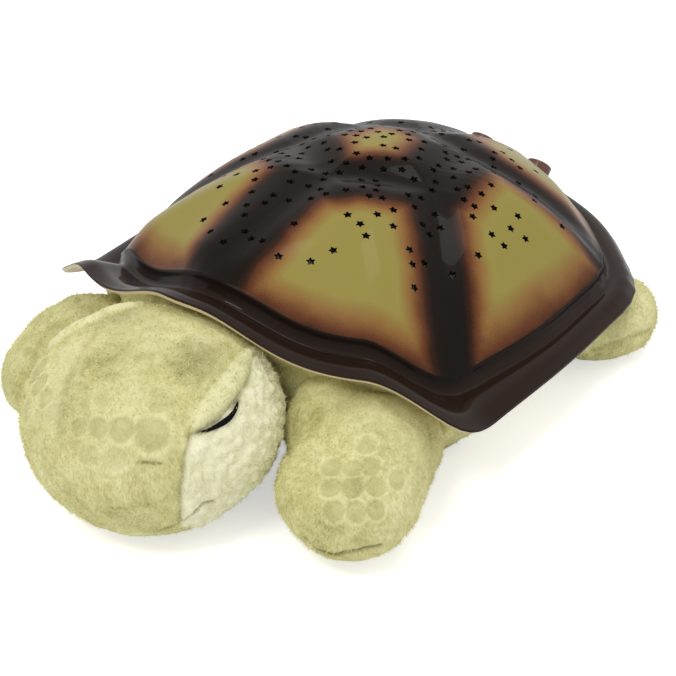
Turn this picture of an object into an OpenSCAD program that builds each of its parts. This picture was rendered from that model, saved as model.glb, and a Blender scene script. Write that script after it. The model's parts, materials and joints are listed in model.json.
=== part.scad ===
// Star night light shaped as a plush turtle, whose hard shell throws stars on the
// ceiling. The turtle looks along -Y, its left side is +X, and it rests on z = 0.
// Everything round the shell is drawn in polar form: phi is the angle from the
// front, r the reach from the shell's centre, and the shell has six corners.

/* [Shell outline] */
// Distance of the shell's centre behind the origin
shell_y = 12; // [10:1:14]
// Reach of the brim at the front corner, over the head
brim_front = 131.5; // [129:0.5:135]
// Reach of the brim at the front side corners
brim_shoulder = 148; // [144:1:152]
// Reach of the brim at the rear side corners
brim_hip = 146.5; // [143:0.5:149]
// Reach of the brim at the rear corner, over the tail
brim_rear = 167; // [164:1:170]
// Width of the brim at the front corner
brim_w_front = 22; // [20:0.5:24]
// Width of the brim at the front side corners
brim_w_shoulder = 29; // [27:0.5:31]
// Width of the brim at the rear side corners
brim_w_hip = 18.5; // [17:0.5:20]
// Width of the brim at the rear corner
brim_w_rear = 13.5; // [12.5:0.5:15]

/* [Shell heights] */
// Height of the dome's crown above the floor
crown_z = 114; // [111:0.5:118]
// Height of the dome's foot along the sides and rear
foot_z = 54; // [53:0.5:57]
// Height of the brim's edge along the sides and rear
edge_z = 38.5; // [37:0.5:41]
// How much higher the foot stands over the front flippers
shoulder_rise = 21; // [19:0.5:23]
// How much higher the foot stands again over the head
arch_rise = 19.5; // [18:0.5:21]
// Depth of the step between the dome's foot and the brim
step_h = 8; // [7:0.5:9]
// Wall thickness of the shell
shell_wall = 2.5; // [2:0.1:3]
// How far each scute stands proud of the bands between them
scute_rise = 4; // [3:0.1:5]

/* [Buttons] */
// Diameter of each button's cap
button_d = 14; // [13:0.5:15]
// Distance of each side button from the middle one, across the shell
button_pitch = 29.4; // [27:0.2:31]
// How much further up the slope the middle button sits
button_step = 15; // [13:0.5:17]
// Reach of the side buttons behind the shell's centre
button_reach = 128; // [125:0.5:130]
// Tilt of the buttons' axis from upright
button_tilt = 45; // [42:1:48]
// How far a cap stands out of the shell
button_proud = 1.8; // [1.5:0.1:2.2]
// How far a button travels
button_travel = 0.8; // [0.5:0.1:1]
// Thickness of the flange that keeps a button in
button_flange_t = 1.2; // [1:0.1:1.5]
// Diameter of the stem under a cap
button_stem_d = 4; // [3.5:0.1:5]

/* [Base tray] */
// Height of the tray's underside above the floor
tray_z = 42; // [41:0.5:43]
// Thickness of the tray's floor and rim
tray_t = 2.5; // [2:0.1:3]
// Gap between the tray's rim and the shell's skirt
rim_gap = 4.5; // [4:0.5:5]
// Diameter of the pillars that the shell is screwed to
pillar_d = 9; // [8:0.5:10]
// Diameter of the shell screws
shell_screw_d = 3; // [2.6:0.1:3.2]

/* [Batteries] */
// Diameter of a cell
cell_d = 10.5; // [9.5:0.1:10.9]
// Length of a cell with its button end
cell_l = 44.5; // [44:0.1:45]
// Distance between neighbouring cells
cell_pitch = 11.1; // [10.9:0.1:12]
// Length of a contact spring when a cell presses on it
spring_l = 5.5; // [5:0.1:7]
// Thickness of the battery door
door_t = 2; // [1.8:0.1:2.4]
// Diameter of the door's hinge pins
door_pin_d = 1.6; // [1.4:0.1:1.7]
// Diameter of the door's screw
door_screw_d = 2.4; // [2:0.1:2.6]

/* [Light] */
// Diameter of the post that carries the lamps
post_d = 26; // [24:1:28]
// Height of the post
post_h = 14; // [12:1:18]
// Diameter of the lamp board
lamp_board_d = 32; // [30:1:34]
// Diameter of a light-emitting diode
led_d = 5; // [4.8:0.1:5]
// Reach of each diode from the post's axis
led_reach = 7.5; // [7:0.1:9]
// Thickness of the circuit boards
board_t = 1.6; // [1.2:0.1:2]

/* [Plush] */
// How far the belly's flat rest lies inside the brim
belly_in = 52; // [48:1:56]
// Thickness of the fabric flap under the belly
flap_t = 3.4; // [3:0.1:4]
// Length of the opening under the battery door, across the turtle
well_x = 74; // [72:1:80]
// Width of the opening, along the turtle
well_y = 60; // [58:1:64]
// How far the flap reaches over each side of the opening
flap_lap = 6; // [5:0.5:8]
// Position of the tip of the nose
nose_y = -200; // [-203:0.5:-198]
// Position of the tip of the tail
tail_y = 200; // [198:0.5:203]
// Width of the head
head_w = 119; // [115:1:122]
// Length of a front flipper from its seam
flipper_l = 90; // [86:1:93]
// Reach of a rear flipper from the middle
hind_x = 127; // [125:0.5:129]

/* [Hidden] */

$fn = 48;
SEAT = 0.3;                     // gap left between pieces that only rest on each other
FIT = 0.15;                     // gap on each side of what slides or drops in
EPS = 0.5;                      // how far a cut runs past a face

function lerp(a, b, t) = a + (b - a) * t;
function clamp(t) = max(0, min(1, t));
function ease(t) = let (c = clamp(t)) c * c * (3 - 2 * c);
function bell(x, w) = exp(-(x / w) * (x / w));

// --- outlines of the shell ---------------------------------------------------
STEP = 5;                       // degrees between meridians
CORNER = [0, 55, 125, 180];     // corner directions, front to rear
BRIM = [brim_front, brim_shoulder, brim_hip, brim_rear];
FOOT = BRIM - [brim_w_front, brim_w_shoulder, brim_w_hip, brim_w_rear];
ARCH_W = 20;                    // half width of the arch over the head, in degrees
WINDOW = [[-1, 1], [-0.5, 2], [0, 3], [0.5, 2], [1, 1]];

// phi folded onto one side of the turtle, from 0 in front to 180 behind
function fold(phi) = abs(phi - 360 * round(phi / 360));
function side(p) = p < CORNER[1] ? 0 : p < CORNER[2] ? 1 : 2;
// reach of the straight line between two neighbouring corners
function straight(phi, reach) =
    let (p = fold(phi), i = side(p), a = p - CORNER[i], b = CORNER[i + 1] - p)
    reach[i] * reach[i + 1] * sin(a + b) / (reach[i] * sin(a) + reach[i + 1] * sin(b));
// how far through its side phi lies, as a bow from 0 to 1 to 0
function bow(phi) =
    let (p = fold(phi), i = side(p), t = (p - CORNER[i]) / (CORNER[i + 1] - CORNER[i]))
    pow(sin(180 * t), 2);
// the outline with its corners rounded over +-w degrees and its sides bowed out
function outline(phi, reach, w, bulge) =
    [for (k = WINDOW) straight(phi + k[0] * w, reach)] * [for (k = WINDOW) k[1]]
    / 9 * (1 + bulge[side(fold(phi))] * bow(phi));

function foot_r(phi) = outline(phi, FOOT, 10, [0.035, 0.045, 0.055]);
BRIM_BOW = [0.045, 0.02, 0.075];
function brim_soft(phi) = lerp(4, 9, ease((fold(phi) - 75) / 30));
function brim_r(phi) = outline(phi, BRIM, brim_soft(phi), BRIM_BOW);
function foot_h(phi) = let (p = fold(phi))
    foot_z + shoulder_rise * (1 - ease((p - 38) / 22)) + arch_rise * bell(p, ARCH_W);
function edge_h(phi) = let (p = fold(phi))
    edge_z + (shoulder_rise + 9) * (1 - ease((p - 38) / 26)) + (arch_rise + 4.5) * bell(p, ARCH_W);

// --- scutes ------------------------------------------------------------------
// The bands between the scutes run from corner to corner of the top scute, and
// from each of its corners to a corner of the dome's foot.
HUB = [0, 100, 153, 180];
HUB_REACH = [20, 41, 63, 62];
BAND_W = 11;

function at(r, phi) = [r * sin(phi), -r * cos(phi)];
function line_gap(p, a, b) =
    let (d = b - a, t = clamp((p - a) * d / (d * d))) norm(p - a - t * d);
function hub(i) = at(HUB_REACH[i], HUB[i]);
// distance in plan from the nearest band
function band_gap(r, phi) = let (q = at(r, fold(phi)))
    min(concat([for (i = [0:3]) line_gap(q, hub(i), at(FOOT[i] * 1.1, CORNER[i]))],
               [for (i = [0:2]) line_gap(q, hub(i), hub(i + 1))]));

// --- the skin, as [reach, height] points from the crown to the edge ------------
DOME_RINGS = 15;
FOOT_RHO = 0.995;
function dome_h(rho, phi) =
    let (h = foot_h(phi))
    h + (crown_z - scute_rise - h) * pow(1 - pow(rho, 2.1), 0.88)
      + scute_rise * (1 - bell(band_gap(rho * foot_r(phi), phi), BAND_W)) * ease((1 - rho) * 8);
function dome(phi) =
    [for (k = [1:DOME_RINGS]) let (rho = k / DOME_RINGS * FOOT_RHO)
        [rho * foot_r(phi), dome_h(rho, phi)]];
function brim(phi) =
    let (r = foot_r(phi), h = foot_h(phi), R = brim_r(phi), E = edge_h(phi),
         g = [r + 4.5, h - step_h])
    [[r + 1, h - 0.5], [r + 1.8, h - step_h / 2], g,
     [lerp(g[0], R, 0.35), lerp(g[1], E, 0.18) + 1.5],
     [lerp(g[0], R, 0.7), lerp(g[1], E, 0.55) + 3],
     [R, E + shell_wall / 2]];
function skin(phi) = concat(dome(phi), brim(phi));

function inward(v) = let (u = v / norm(v)) [u[1], -u[0]];
// the skin moved in by a thickness, from the edge back to the crown
function lining(phi, t) =
    let (s = skin(phi), n = len(s))
    [for (k = [n - 1:-1:0]) s[k] + t * inward(s[min(k + 1, n - 1)] - s[max(k - 1, 0)])];

// height of the dome's inner face, of its outer face, and of the brim's underside
function inner_h(r, phi) = lookup(r, [for (p = lining(phi, shell_wall)) if (p[0] < foot_r(phi) - 1) p]);
function outer_h(r, phi) = lookup(r, dome(phi));
function under_h(r, phi) = lookup(r, [for (k = [0:3]) lining(phi, shell_wall)[k]]);
// the same by plan position, seen from the shell's centre
function phi_of(x, y) = atan2(x, -y);
function inner_at(x, y) = inner_h(norm([x, y]), phi_of(x, y));
function outer_at(x, y) = outer_h(norm([x, y]), phi_of(x, y));

// --- solids from rings ---------------------------------------------------------
// Faces that join rings of n points between a first and a last single point
function ring_faces(m, n) = concat(
    [for (j = [0:n - 1]) [0, 1 + (j + 1) % n, 1 + j]],
    [for (k = [0:m - 2], j = [0:n - 1], s = [0, 1])
        let (a = 1 + k * n + j, b = 1 + k * n + (j + 1) % n)
        s == 0 ? [a, b, b + n] : [a, b + n, a + n]],
    [for (j = [0:n - 1]) [1 + m * n, 1 + (m - 1) * n + j, 1 + (m - 1) * n + (j + 1) % n]]);

// A closed skin round the shell's axis: loops holds [reach, height] points by meridian
module polar_solid(loops, first_z, last_z) {
    m = len(loops[0]);
    n = len(loops);
    pts = concat([[0, shell_y, first_z]],
        [for (k = [0:m - 1], j = [0:n - 1])
            let (p = loops[j][k], q = at(p[0], j * STEP)) [q[0], shell_y + q[1], p[1]]],
        [[0, shell_y, last_z]]);
    polyhedron(pts, ring_faces(m, n));
}
MERIDIANS = [for (j = [0:360 / STEP - 1]) j * STEP];

// A closed skin through rings of points, with a single point at each end
module ring_solid(rings, first, last) {
    polyhedron(concat([first], [for (r = rings, p = r) p], [last]),
               ring_faces(len(rings), len(rings[0])));
}

module at_shell() { translate([0, shell_y, 0]) children(); }

// --- buttons: where their common plane lies ------------------------------------
side_button_phi = 180 - atan(button_pitch / button_reach);
slope_z = outer_h(norm([button_pitch, button_reach]), side_button_phi);
hole_d = button_d + 4 * FIT;
flange_d = button_d + 3;
BUTTONS = [[-button_pitch, 0], [0, -button_step], [button_pitch, 0]];

// local frame of the slope: +Z out of the shell, +Y down the slope
module on_slope(x = 0, v = 0) {
    translate([0, shell_y + button_reach, slope_z]) rotate([-button_tilt, 0, 0])
        translate([x, v, 0]) children();
}
// height above the slope's plane of a point given from the shell's centre
function slope_w(y, z) = (y - button_reach) * sin(button_tilt) + (z - slope_z) * cos(button_tilt);
function disc(b, r) =
    [for (a = [0:15:345], f = [0, 1])
        [b[0] + f * r * cos(a), button_reach + (b[1] + f * r * sin(a)) * cos(button_tilt)]];
function flange_w(b) =
    min([for (p = disc(b, flange_d / 2)) slope_w(p[1], inner_at(p[0], p[1]))]) - SEAT;
function cap_w(b) =
    max([for (p = disc(b, button_d / 2)) slope_w(p[1], outer_at(p[0], p[1]))]) + button_proud;

SWITCH = 6;                     // side of a switch body
switch_h = 3.6;
plunger_d = 3.4;
plunger_h = 1;                  // how far a plunger stands out of its switch
plunger_w = min([for (b = BUTTONS) flange_w(b)]) - button_flange_t - 2;
board_w = plunger_w - plunger_h - switch_h - board_t;
BOARD_X = 2 * (button_pitch + 11);
BOARD_V = [-button_step - 6, 5.5];
RIB_X = button_pitch + 9;       // where the board's ribs stand
RIB_T = 5;
board_screw_d = 2.2;

// --- tray ------------------------------------------------------------------------
floor_z = tray_z + tray_t;
function rim_r(phi) = foot_r(phi) - rim_gap;
RIM_UNDER = 0.9;                // how far the rim's top stays under the shell
function rim_top(r, phi) = inner_h(r, phi) - RIM_UNDER;
PILLAR_PHI = [40, 140, 220, 320];
PILLAR_RHO = 0.8;
function pillar_r(phi) = PILLAR_RHO * foot_r(phi);
function pillar_z(phi) = inner_h(pillar_r(phi) + pillar_d / 2, phi) - 12;
SCREW_GRIP = 8;                 // how far a shell screw reaches into its boss
HEAD_T = 2;                     // thickness of a screw's head under the pillar's web
WEB = 3;                        // what is left of a pillar under the screw's head

bay_y = shell_y;
contact_t = 0.5;
bay_x = cell_l + spring_l + 2 * contact_t;
bay_w = 2 * cell_pitch + cell_d + 1;
cell_z = tray_z + door_t + SEAT + cell_d / 2;
roof_z = cell_z + cell_d / 2 + SEAT;
roof_t = 2;
DOOR_LEDGE = 2;                 // step round the bay that the door closes against
SCREW_PAD = 9;                  // ledge behind the bay that takes the door's screw
DOOR_HEAD = [5, 1];             // diameter and height of the door screw's head
DOOR_SCREW_L = 4.5;             // length of its shaft
DOOR_SCREW_PLAY = 0.45;         // room round it, since the screw swings out with the door
door_x = bay_x + 2 * DOOR_LEDGE;
door_front = bay_y - bay_w / 2 - DOOR_LEDGE;
door_back = bay_y + bay_w / 2 + SCREW_PAD;
door_screw_y = door_back - SCREW_PAD / 2;
door_pin_y = door_front + door_t / 2;
door_pin_z = tray_z + door_t / 2;
PIN_L = 3;                      // how far each hinge pin reaches into the tray
PIN_CLEAR = 0.08;               // running clearance round a hinge pin
BAY_WALL = 4;

post_z = roof_z + roof_t;
post_wall = 2;
FLANGE_D = 9;                   // how much wider the post's foot is than the post
FLANGE_T = 2;
lamp_z = post_z + post_h;

// --- screw: head at z = 0 and below, shaft upwards -------------------------------
module screw(d, l, head_d, head_t) {
    cylinder(d = d, h = l);
    difference() {
        translate([0, 0, -head_t]) cylinder(d = head_d, h = head_t);
        for (a = [0, 90]) rotate(a)
            translate([-head_d * 0.35, -head_d * 0.08, -head_t - EPS])
                cube([head_d * 0.7, head_d * 0.16, head_t / 2 + EPS]);
    }
}

module shell() {
    color([0.24, 0.14, 0.08]) difference() {
        union() {
            polar_solid([for (phi = MERIDIANS) concat(skin(phi), lining(phi, shell_wall))],
                        dome_h(0, 0), dome_h(0, 0) - shell_wall);
            for (phi = PILLAR_PHI) at_pillar(phi)
                cylinder(d = pillar_d, h = inner_h(pillar_r(phi) + pillar_d / 2, phi) + 1.8 - pillar_z(phi));
        }
        for (b = BUTTONS) on_slope(b[0], b[1]) translate([0, 0, -15]) cylinder(d = hole_d, h = 30);
        for (phi = PILLAR_PHI) at_pillar(phi)
            translate([0, 0, -EPS]) cylinder(d = shell_screw_d + 2 * FIT, h = SCREW_GRIP + 2 * EPS);
    }
}
module at_pillar(phi) {
    at_shell() rotate(phi) translate([0, -pillar_r(phi), pillar_z(phi)]) children();
}

module base_tray() {
    color([0.92, 0.90, 0.84]) difference() {
        union() {
            polar_solid([for (phi = MERIDIANS) let (r = rim_r(phi))
                            [[r - tray_t, floor_z], [r - tray_t, rim_top(r - tray_t, phi)],
                             [r, rim_top(r, phi)], [r, tray_z]]],
                        floor_z, tray_z);
            for (phi = PILLAR_PHI) at_pillar(phi)
                translate([0, 0, floor_z - EPS - pillar_z(phi)])
                    cylinder(d = pillar_d, h = pillar_z(phi) - floor_z + EPS);
            translate([-door_x / 2 - BAY_WALL, door_front - BAY_WALL, floor_z - EPS])
                cube([door_x + 2 * BAY_WALL, door_back - door_front + 2 * BAY_WALL,
                      roof_z + roof_t - floor_z + EPS]);
            board_ribs();
        }
        translate([-bay_x / 2, bay_y - bay_w / 2, tray_z - EPS]) cube([bay_x, bay_w, roof_z - tray_z + EPS]);
        translate([-door_x / 2 - FIT, door_front - FIT, tray_z - EPS])
            cube([door_x + 2 * FIT, door_back - door_front + 2 * FIT, door_t + EPS + FIT]);
        translate([-door_x / 2 - PIN_L - FIT, door_pin_y, door_pin_z]) rotate([0, 90, 0])
            cylinder(d = door_pin_d + 2 * PIN_CLEAR, h = door_x + 2 * (PIN_L + FIT));
        translate([0, door_screw_y, tray_z])
            cylinder(d = door_screw_d + 2 * DOOR_SCREW_PLAY, h = DOOR_SCREW_L + 3);
        for (phi = PILLAR_PHI) at_pillar(phi) {
            translate([0, 0, -WEB - EPS]) cylinder(d = shell_screw_d + 2 * FIT, h = WEB + 2 * EPS);
            translate([0, 0, tray_z - EPS - pillar_z(phi)])
                cylinder(d = pillar_d - 2.4, h = pillar_z(phi) - WEB - tray_z + EPS);
        }
        for (b = BUTTONS) on_slope(b[0], b[1]) translate([0, 0, plunger_w])
            cylinder(d = flange_d + 2, h = 30);
        on_slope() translate([-BOARD_X / 2 - SEAT, BOARD_V[0] - SEAT, board_w])
            cube([BOARD_X + 2 * SEAT, BOARD_V[1] - BOARD_V[0] + 2 * SEAT, 30]);
        for (x = [-1, 1]) at_post_screw(x) translate([0, 0, -roof_t - EPS])
            cylinder(d = POST_SCREW_D + 2 * FIT, h = roof_t + 2 * EPS);
        for (x = [-1, 1]) on_slope(x * RIB_X, BOARD_V[0] + 5) translate([0, 0, board_w - 6])
            cylinder(d = board_screw_d + 2 * FIT, h = 6 + EPS);
    }
}
// two ribs whose sloping tops carry the button board
module board_ribs() {
    run = (BOARD_V[1] - BOARD_V[0]);
    for (x = [-1, 1]) intersection() {
        on_slope(x * RIB_X, BOARD_V[0]) translate([-RIB_T / 2, 0, board_w - 60]) cube([RIB_T, run, 60]);
        translate([x * RIB_X - RIB_T, shell_y, floor_z - EPS]) cube([2 * RIB_T, 200, 60]);
    }
}

module shell_screws() {
    color([0.72, 0.72, 0.74]) for (phi = PILLAR_PHI) at_pillar(phi)
        translate([0, 0, -WEB]) screw(shell_screw_d, WEB + SCREW_GRIP, pillar_d - 3, HEAD_T);
}

// --- light ---------------------------------------------------------------------
POST_SCREW_D = 2.2;
module at_post_screw(x) {
    at_shell() translate([x * (post_d / 2 + FLANGE_D / 4), 0, post_z]) children();
}
module light_post() {
    color([0.95, 0.94, 0.90]) difference() {
        at_shell() translate([0, 0, post_z]) union() {
            cylinder(d = post_d, h = post_h);
            cylinder(d = post_d + FLANGE_D, h = FLANGE_T);
        }
        at_shell() translate([0, 0, post_z - EPS])
            cylinder(d = post_d - 2 * post_wall, h = post_h + 2 * EPS);
        for (x = [-1, 1]) at_post_screw(x)
            translate([0, 0, -EPS]) cylinder(d = POST_SCREW_D + 2 * FIT, h = FLANGE_T + 2 * EPS);
    }
}
module post_screws() {
    color([0.72, 0.72, 0.74]) for (x = [-1, 1]) at_post_screw(x)
        translate([0, 0, FLANGE_T]) mirror([0, 0, 1]) screw(POST_SCREW_D, FLANGE_T + roof_t, 4, 1.2);
}
module lamp_board() {
    color([0.10, 0.38, 0.20]) at_shell() translate([0, 0, lamp_z]) cylinder(d = lamp_board_d, h = board_t);
}
module led(a) {
    at_shell() rotate(a) translate([0, -led_reach, lamp_z + board_t]) {
        cylinder(d = led_d + 0.8, h = 1);
        cylinder(d = led_d, h = 6);
        translate([0, 0, 6]) sphere(d = led_d);
    }
}
module led_amber() { color([0.96, 0.62, 0.10]) led(0); }
module led_blue() { color([0.25, 0.45, 0.95]) led(120); }
module led_green() { color([0.20, 0.80, 0.35]) led(240); }
module timer_chip() {
    color([0.08, 0.08, 0.09]) at_shell() translate([-2.5, -2, lamp_z + board_t]) cube([5, 4, 1.5]);
}

// --- buttons ---------------------------------------------------------------------
// A domed cap with a flange below the shell's wall and a stem down to the plunger
module button(b) {
    top = cap_w(b);
    flange = flange_w(b);
    dome_rise = 1.6;
    on_slope(b[0], b[1]) {
        translate([0, 0, flange - EPS / 5]) rotate_extrude()
            polygon(concat([[0, 0], [button_d / 2, 0]],
                [for (a = [0:15:90]) let (h = top - dome_rise - flange + EPS / 5)
                    [button_d / 2 * cos(a), h + dome_rise * sin(a)]]));
        translate([0, 0, flange - button_flange_t]) cylinder(d = flange_d, h = button_flange_t);
        translate([0, 0, plunger_w])
            cylinder(d = button_stem_d, h = flange - button_flange_t - plunger_w + EPS);
    }
}
module button_green() { color([0.42, 0.17, 0.08]) button(BUTTONS[0]); }
module button_amber() { color([0.42, 0.17, 0.08]) button(BUTTONS[1]); }
module button_blue() { color([0.42, 0.17, 0.08]) button(BUTTONS[2]); }

BORE_DEPTH = 2.2;               // depth of the hole that a plunger slides in
module switch(b) {
    color([0.15, 0.15, 0.16]) on_slope(b[0], b[1]) difference() {
        translate([-SWITCH / 2, -SWITCH / 2, board_w + board_t]) cube([SWITCH, SWITCH, switch_h]);
        translate([0, 0, board_w + board_t + switch_h - BORE_DEPTH])
            cylinder(d = plunger_d + 2 * PIN_CLEAR, h = BORE_DEPTH + EPS);
    }
}
module plunger(b) {
    buried = BORE_DEPTH - button_travel - FIT;
    color([0.85, 0.84, 0.80]) on_slope(b[0], b[1])
        translate([0, 0, plunger_w - plunger_h - buried]) cylinder(d = plunger_d, h = plunger_h + buried);
}
module button_board() {
    color([0.10, 0.38, 0.20]) difference() {
        on_slope() translate([-BOARD_X / 2, BOARD_V[0], board_w])
            cube([BOARD_X, BOARD_V[1] - BOARD_V[0], board_t]);
        for (x = [-1, 1]) on_slope(x * RIB_X, BOARD_V[0] + 5) translate([0, 0, board_w - EPS])
            cylinder(d = board_screw_d + 2 * FIT, h = board_t + 2 * EPS);
    }
}
module board_screws() {
    color([0.72, 0.72, 0.74]) for (x = [-1, 1]) on_slope(x * RIB_X, BOARD_V[0] + 5)
        translate([0, 0, board_w + board_t]) mirror([0, 0, 1]) screw(board_screw_d, board_t + 5, 4, 1.2);
}

// --- batteries ---------------------------------------------------------------------
NUB = [3.8, 1];                 // diameter and length of a cell's positive end
// row is -1, 0 or 1; the middle cell points the other way
module at_cell(row) {
    flip = row == 0 ? -1 : 1;
    translate([-flip * (bay_x / 2 - contact_t), bay_y + row * cell_pitch, cell_z]) rotate([0, flip * 90, 0])
        children();
}
module cell(row) {
    color([0.20, 0.22, 0.26]) at_cell(row) translate([0, 0, spring_l]) {
        cylinder(d = cell_d, h = cell_l - NUB[1]);
        cylinder(d = NUB[0], h = cell_l);
    }
}
SPRING_WIRE = 0.7;
SPRING_TURNS = 3;
SPRING_SIDES = 6;
function coil_at(a, r0, r1, h) = let (t = a / (360 * SPRING_TURNS), r = lerp(r0, r1, t))
    [r * cos(a), r * sin(a), SPRING_WIRE / 2 + t * (h - SPRING_WIRE)];
module spring(h) {
    angles = [0:30:360 * SPRING_TURNS];
    rings = [for (a = angles) let (c = coil_at(a, 3.6, 2.2, h))
        [for (s = [0:SPRING_SIDES - 1]) let (b = s * 360 / SPRING_SIDES)
            c + SPRING_WIRE / 2 * [cos(b) * cos(a), cos(b) * sin(a), sin(b)]]];
    ring_solid(rings, coil_at(0, 3.6, 2.2, h), coil_at(360 * SPRING_TURNS, 3.6, 2.2, h));
}
module contact_springs() {
    color([0.78, 0.78, 0.80]) for (row = [-1:1]) at_cell(row) spring(spring_l);
}
CONTACT = 9;                    // side of a contact plate
module contact_plates() {
    color([0.78, 0.78, 0.80]) for (row = [-1:1], end = [-1, 1])
        translate([end * (bay_x - contact_t) / 2, bay_y + row * cell_pitch, cell_z])
            cube([contact_t, CONTACT, CONTACT], center = true);
}
module battery_door() {
    color([0.92, 0.90, 0.84]) difference() {
        union() {
            translate([-door_x / 2, door_pin_y, tray_z]) cube([door_x, door_back - door_pin_y, door_t]);
            translate([-door_x / 2, door_pin_y, door_pin_z]) rotate([0, 90, 0])
                cylinder(d = door_t, h = door_x);
            translate([-door_x / 2 - PIN_L, door_pin_y, door_pin_z]) rotate([0, 90, 0])
                cylinder(d = door_pin_d, h = door_x + 2 * PIN_L);
        }
        translate([0, door_screw_y, tray_z - EPS]) {
            cylinder(d = door_screw_d + 2 * FIT, h = door_t + 2 * EPS);
            cylinder(d = DOOR_HEAD[0] + 2 * FIT, h = DOOR_HEAD[1] + EPS);
        }
    }
}
module battery_screw() {
    color([0.72, 0.72, 0.74]) translate([0, door_screw_y, tray_z + DOOR_HEAD[1]])
        screw(door_screw_d, DOOR_SCREW_L, DOOR_HEAD[0], DOOR_HEAD[1]);
}

// --- wires -------------------------------------------------------------------------
// A round wire along hand-placed points [x, y, z]
function along(pts, k) = let (n = len(pts), d = pts[min(k + 1, n - 1)] - pts[max(k - 1, 0)]) d / norm(d);
function across(d) = let (c = cross(d, [0.2, 0.1, 1])) c / norm(c);
module wire(pts, d) {
    r = d / 2;
    rings = [for (k = [0:len(pts) - 1]) let (t = along(pts, k), u = across(t), v = cross(t, u))
        [for (s = [0:7]) pts[k] + r * (cos(s * 45) * u - sin(s * 45) * v)]];
    ring_solid(rings, pts[0], pts[len(pts) - 1]);
}
LEAD_D = 1.3;
LEAD = [[26, -2, 57.4], [26, -1.8, 59], [25.4, -0.6, 60.8], [23.6, 2.5, 62.4], [21, 6, 64], [18.4, 9, 66],
        [16, 11.4, 68.2], [14.9, 12.6, 69.6], [14.7, 13, 70.8]];
CABLE_D = 2.6;
// down from the button board, then over the tray's floor and the bay's roof to the lamps
FROM_BOARD = [[-23.2, -0.6], [-25.5, -2.9], [-29, -6.2], [-34, -10], [-40, -13]];
OVER_FLOOR = [[80, 3.3], [72, 2.1], [64, 1.7], [56, 1.7], [49, 3.1], [44, 6.5], [39, 10.9], [34, 13.5]];
TO_LAMPS = [[28, -12.1], [22.5, -11.5], [18.5, -8.7], [15.6, -5.7], [14.4, -2.7], [14.4, -0.3]];
CABLE = concat([for (p = FROM_BOARD) [0, shell_y + button_reach + p[0], slope_z + p[1]]],
               [for (p = OVER_FLOOR) [0, shell_y + p[0], floor_z + p[1]]],
               [for (p = TO_LAMPS) [0, shell_y + p[0], lamp_z + p[1]]]);
module lead_red() { color([0.80, 0.10, 0.08]) wire(LEAD, LEAD_D); }
module lead_black() { color([0.08, 0.08, 0.08]) wire([for (p = LEAD) [-p[0], p[1], p[2]]], LEAD_D); }
module button_cable() { color([0.55, 0.56, 0.60]) wire(CABLE, CABLE_D); }

// --- plush -------------------------------------------------------------------------
PLUSH = [0.72, 0.70, 0.50];
PALE = [0.84, 0.84, 0.68];
NECK_Y = -91;                   // where the head joins the body
SHOULDER = [47, -58];           // where a front flipper joins: inner side and root
HIND_ROOT = 88;                 // where a rear flipper joins, from the middle
TAIL_ROOT = 143;

BODY_OUT = 0.4;                 // share of the brim that the plush fills from below
PLUSH_GAP = 1.2;                // how far the plush stays under the brim
function belly_r(phi) = outline(phi, BRIM, 14, BRIM_BOW) - belly_in;
function body_section(phi) =
    let (R = brim_r(phi), B = belly_r(phi), r = rim_r(phi) + SEAT, g = foot_r(phi) + 2.5,
         out = lerp(g, R, BODY_OUT), edge = under_h(out, phi) - PLUSH_GAP,
         root = under_h(g, phi) - PLUSH_GAP)
    [[B, 0], [B + 16, 4], [B + 25, 13], [B + 35, 26], [out, edge],
     [g, root], [r, root], [r, tray_z]];
module plush_body() {
    color(PLUSH) difference() {
        polar_solid([for (phi = MERIDIANS) let (s = body_section(phi)) [for (k = [7:-1:0]) s[k]]],
                    tray_z, 0);
        translate([-200, NECK_Y - 100, -EPS]) cube([400, 100, 120]);
        for (s = [0, 1]) mirror([s, 0, 0]) {
            translate([SHOULDER[0], SHOULDER[1] - 100, -EPS])
                cube([100, 100, FLIPPER_CORE[1] + FLIPPER_UP]);
            translate([HIND_ROOT, HIND_Y - HIND_HALF - 6, -EPS])
                cube([100, 2 * HIND_HALF + 12, HIND_CORE + HIND_UP + 1]);
        }
        translate([-100, TAIL_ROOT, -EPS]) cube([200, 100, 120]);
        translate([-well_x / 2, bay_mid_y - well_y / 2, -EPS]) cube([well_x, well_y, tray_z + 2 * EPS]);
        translate([-well_x / 2 - flap_lap, bay_mid_y - well_y / 2 - flap_lap, -EPS])
            cube([well_x + 2 * flap_lap, well_y + 2 * flap_lap, recess_h + EPS]);
    }
}
bay_mid_y = (door_front + door_back) / 2;
recess_h = flap_t + 3.2;

// A stuffed limb's section at one station: an ellipse about the core height that is
// up above it and down below it, flattened where it would pass below the floor
LIMB_SIDES = 28;
function limb_section(mid, half, core, up, down) =
    [for (j = [0:LIMB_SIDES - 1]) let (a = j * 360 / LIMB_SIDES)
        [mid + half * cos(a), max(0, core + (sin(a) < 0 ? down : up) * sin(a))]];
LIMB_ANGLES = [0, 15, 30, 45, 60, 75, 84];
// 1 to 0 along a rounded end, as t goes from 0 to 1
function swell(t, p) = pow(max(0, 1 - pow(t, p)), 1 / p);
function past(t, from) = clamp((t - from) / (1 - from));
// a limb's fullness: from its narrower seam up to 1 at full, then round to its tip
function fill(t, full, seam, p) = lerp(seam, 1, ease(t / full)) * swell(past(t, full), p);

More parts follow.
